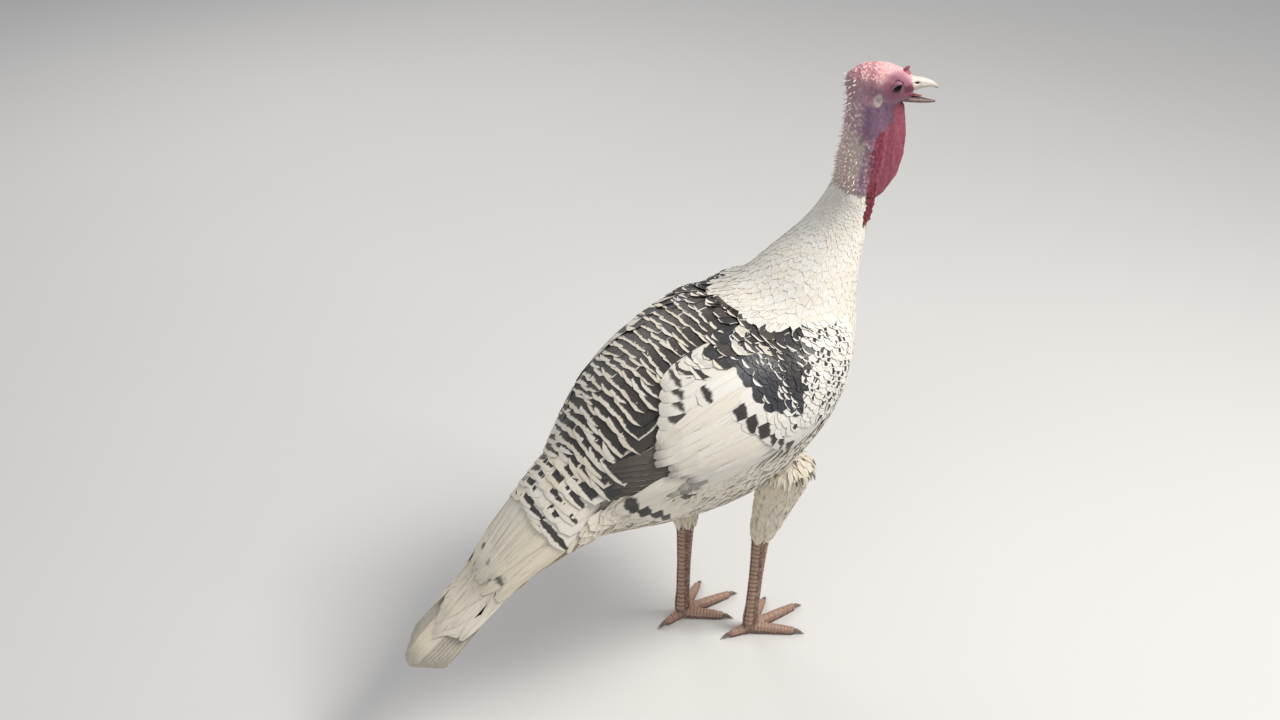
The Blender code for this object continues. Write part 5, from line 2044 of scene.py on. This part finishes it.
# %% Flank feathers over the crease
REACH_UP, REACH_DOWN, REACH_OUT, ARCH = 20 * MM, 17 * MM, 7 * MM, 0.12
SHORTEST, LONGEST = 18 * MM, 60 * MM
for side in SIDES:
    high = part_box("thigh_" + side)[1]
    thigh_spots, thigh_ways = scattered("thigh_" + side, high.z - 0.085, 4.4 * MM)
    nearest, outside = nearest_on_body(thigh_spots)
    crease = np.abs(outside) < 4.5 * MM
    base, base_ways, out = thigh_spots[crease], thigh_ways[crease], body_ways[nearest[crease]]
    upward = np.array((0.30, 0.0, 1.0)) + 0.10 * CHANCE.normal(0, 1, (len(base), 3))
    upward = unit(squared(upward, out))
    above = nearest_on_body(base + upward * REACH_UP)[0]
    target = base + (-upward + base_ways * 0.25) * REACH_DOWN + out * REACH_OUT
    rests = [int(np.argmin(np.linalg.norm(thigh_spots - p, axis=1))) for p in target]
    flow = thigh_spots[rests] + thigh_ways[rests] * 1.0 * MM - body_points[above]
    length = np.linalg.norm(flow, axis=1)
    # A feather must point straight at its resting place, so the way it faces is squared to that.
    faced = squared(body_ways[above] + base_ways + thigh_ways[rests], flow / length[:, None])
    good = (length > SHORTEST) & (length < LONGEST)
    length, count = length[good], int(good.sum())
    laid(f"coat_flank_{side}", body_points[above][good], faced[good], flow[good], {
        "length": length * 1.04, "width": chance(count, 9 * MM, 13 * MM),
        "low": -2.0 * MM, "high": length**2 / (2 * ARCH) - 0.4 * MM, "roundness": ARCH,
        # Their duskier tone and grey edges and lines are partly real streaks and partly painted shade of
        # the crease. The few dark bars are brown spots.
        "tone": chance(count, 0.5, 1.0), "warm": chance(count, 0.3, 0.7), "edge": 0.16,
        "dark": 0.85 * (chance(count, 0, 1) < 0.22), "bar_from": 0.78, "bar_to": 0.95, "wide": 0.5,
        "lined": 0.40,
    }, rows=MIDDLE_ROWS)

# %% [markdown]
# Up the back of the neck the feathers thin out into bristles, which stand on the bare skin. Each
# is a four-sided spike that starts a little below the skin, so that no gap shows at its foot.

# %% Bristles of the nape
SPIKE_HEIGHTS = np.array([-0.25, 0.25, 0.65, 1.0])
SPIKE_GIRTHS = np.array([1.25, 1.0, 0.7, 0.22]) * 0.85 * MM
BRISTLE_GAP = 4.6 * MM


def spikes(name, roots, ways, lengths):
    """Thin four-sided spikes on points of the skin. Each point keeps how far along it lies."""
    ways = unit(ways)
    first = unit(np.cross(ways, (0.31, 0.87, 0.38)))
    turns = np.radians([0, 90, 180, 270])[:, None]
    ring = first[:, None] * np.cos(turns) + np.cross(ways, first)[:, None] * np.sin(turns)
    axis = roots[:, None] + ways[:, None] * SPIKE_HEIGHTS[:, None] * lengths[:, None, None]
    points = axis[:, :, None] + ring[:, None] * SPIKE_GIRTHS[:, None, None]
    faces = [(0, 1, 2, 3), (15, 14, 13, 12)]
    for r in range(0, 12, 4):
        faces += [(r + k, r + 4 + k, r + 4 + (k + 1) % 4, r + (k + 1) % 4) for k in range(4)]
    mesh = mesh_of(name, points.reshape(len(roots), 16, 3), np.array(faces))
    store(mesh, "along", np.tile(np.repeat(SPIKE_HEIGHTS, 4), len(roots)))
    return mesh


spots, ways = coordinates(skin), facing(skin)
ahead, left, up = on_head(spots)
wanted = bare * smooth_step(-0.036, -0.046, ahead) * smooth_step(0.008, -0.010, up)
wanted = wanted * smooth_step(0.016, 0.008, np.abs(left) - 0.25 * np.maximum(-up - 0.07, 0))
chosen = []
for index in CHANCE.permutation(np.flatnonzero(chance(len(spots), 0, 1) < wanted)):
    near = [b for b in chosen if abs(spots[b, 2] - spots[index, 2]) < BRISTLE_GAP]
    if not near or np.min(np.linalg.norm(spots[near] - spots[index], axis=1)) > BRISTLE_GAP:
        chosen.append(int(index))
lean = ways[chosen] * 1.1 + (-0.10, 0.0, -0.40) + CHANCE.normal(0, 0.22, (len(chosen), 3))
bristle_finish = Finish("bristle", "plumage_white", {"Roughness": 0.6, "Specular IOR Level": 0.3})
pale_end = bristle_finish.read("along").step(0.0, 0.5)
bristle_finish.feed("Base Color", pale_end.mix(rgb(0.55, 0.36, 0.36), rgb(0.82, 0.76, 0.68)))
bristles = spikes("nape_bristles", spots[chosen], lean, chance(len(chosen), 3.0 * MM, 7.0 * MM))
corner = np.tile(np.array([(-1, -1), (1, -1), (1, 1), (-1, 1)]), (4 * len(chosen), 1)) * 0.001
centre = np.stack([skin_turn / 360, skin_station / body.last], 1)[chosen]
store_map(bristles, np.repeat(centre, 16, 0) + corner)
place(bristles, bristle_finish)
print("bristles", len(chosen))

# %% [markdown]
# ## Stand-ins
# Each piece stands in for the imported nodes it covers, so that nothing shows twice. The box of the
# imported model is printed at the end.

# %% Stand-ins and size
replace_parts(tail, "tail")
for side in SIDES:
    for part in WING_PARTS:
        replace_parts(wing_pieces[side, part], f"wing_{side}_{part}")
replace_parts(back_piece, "tail_coverts")
print("coat triangles", sum(coat_faces.values()))
print("cad box", [round(float(v), 4) for v in (*CAD_LOW, *CAD_HIGH)])
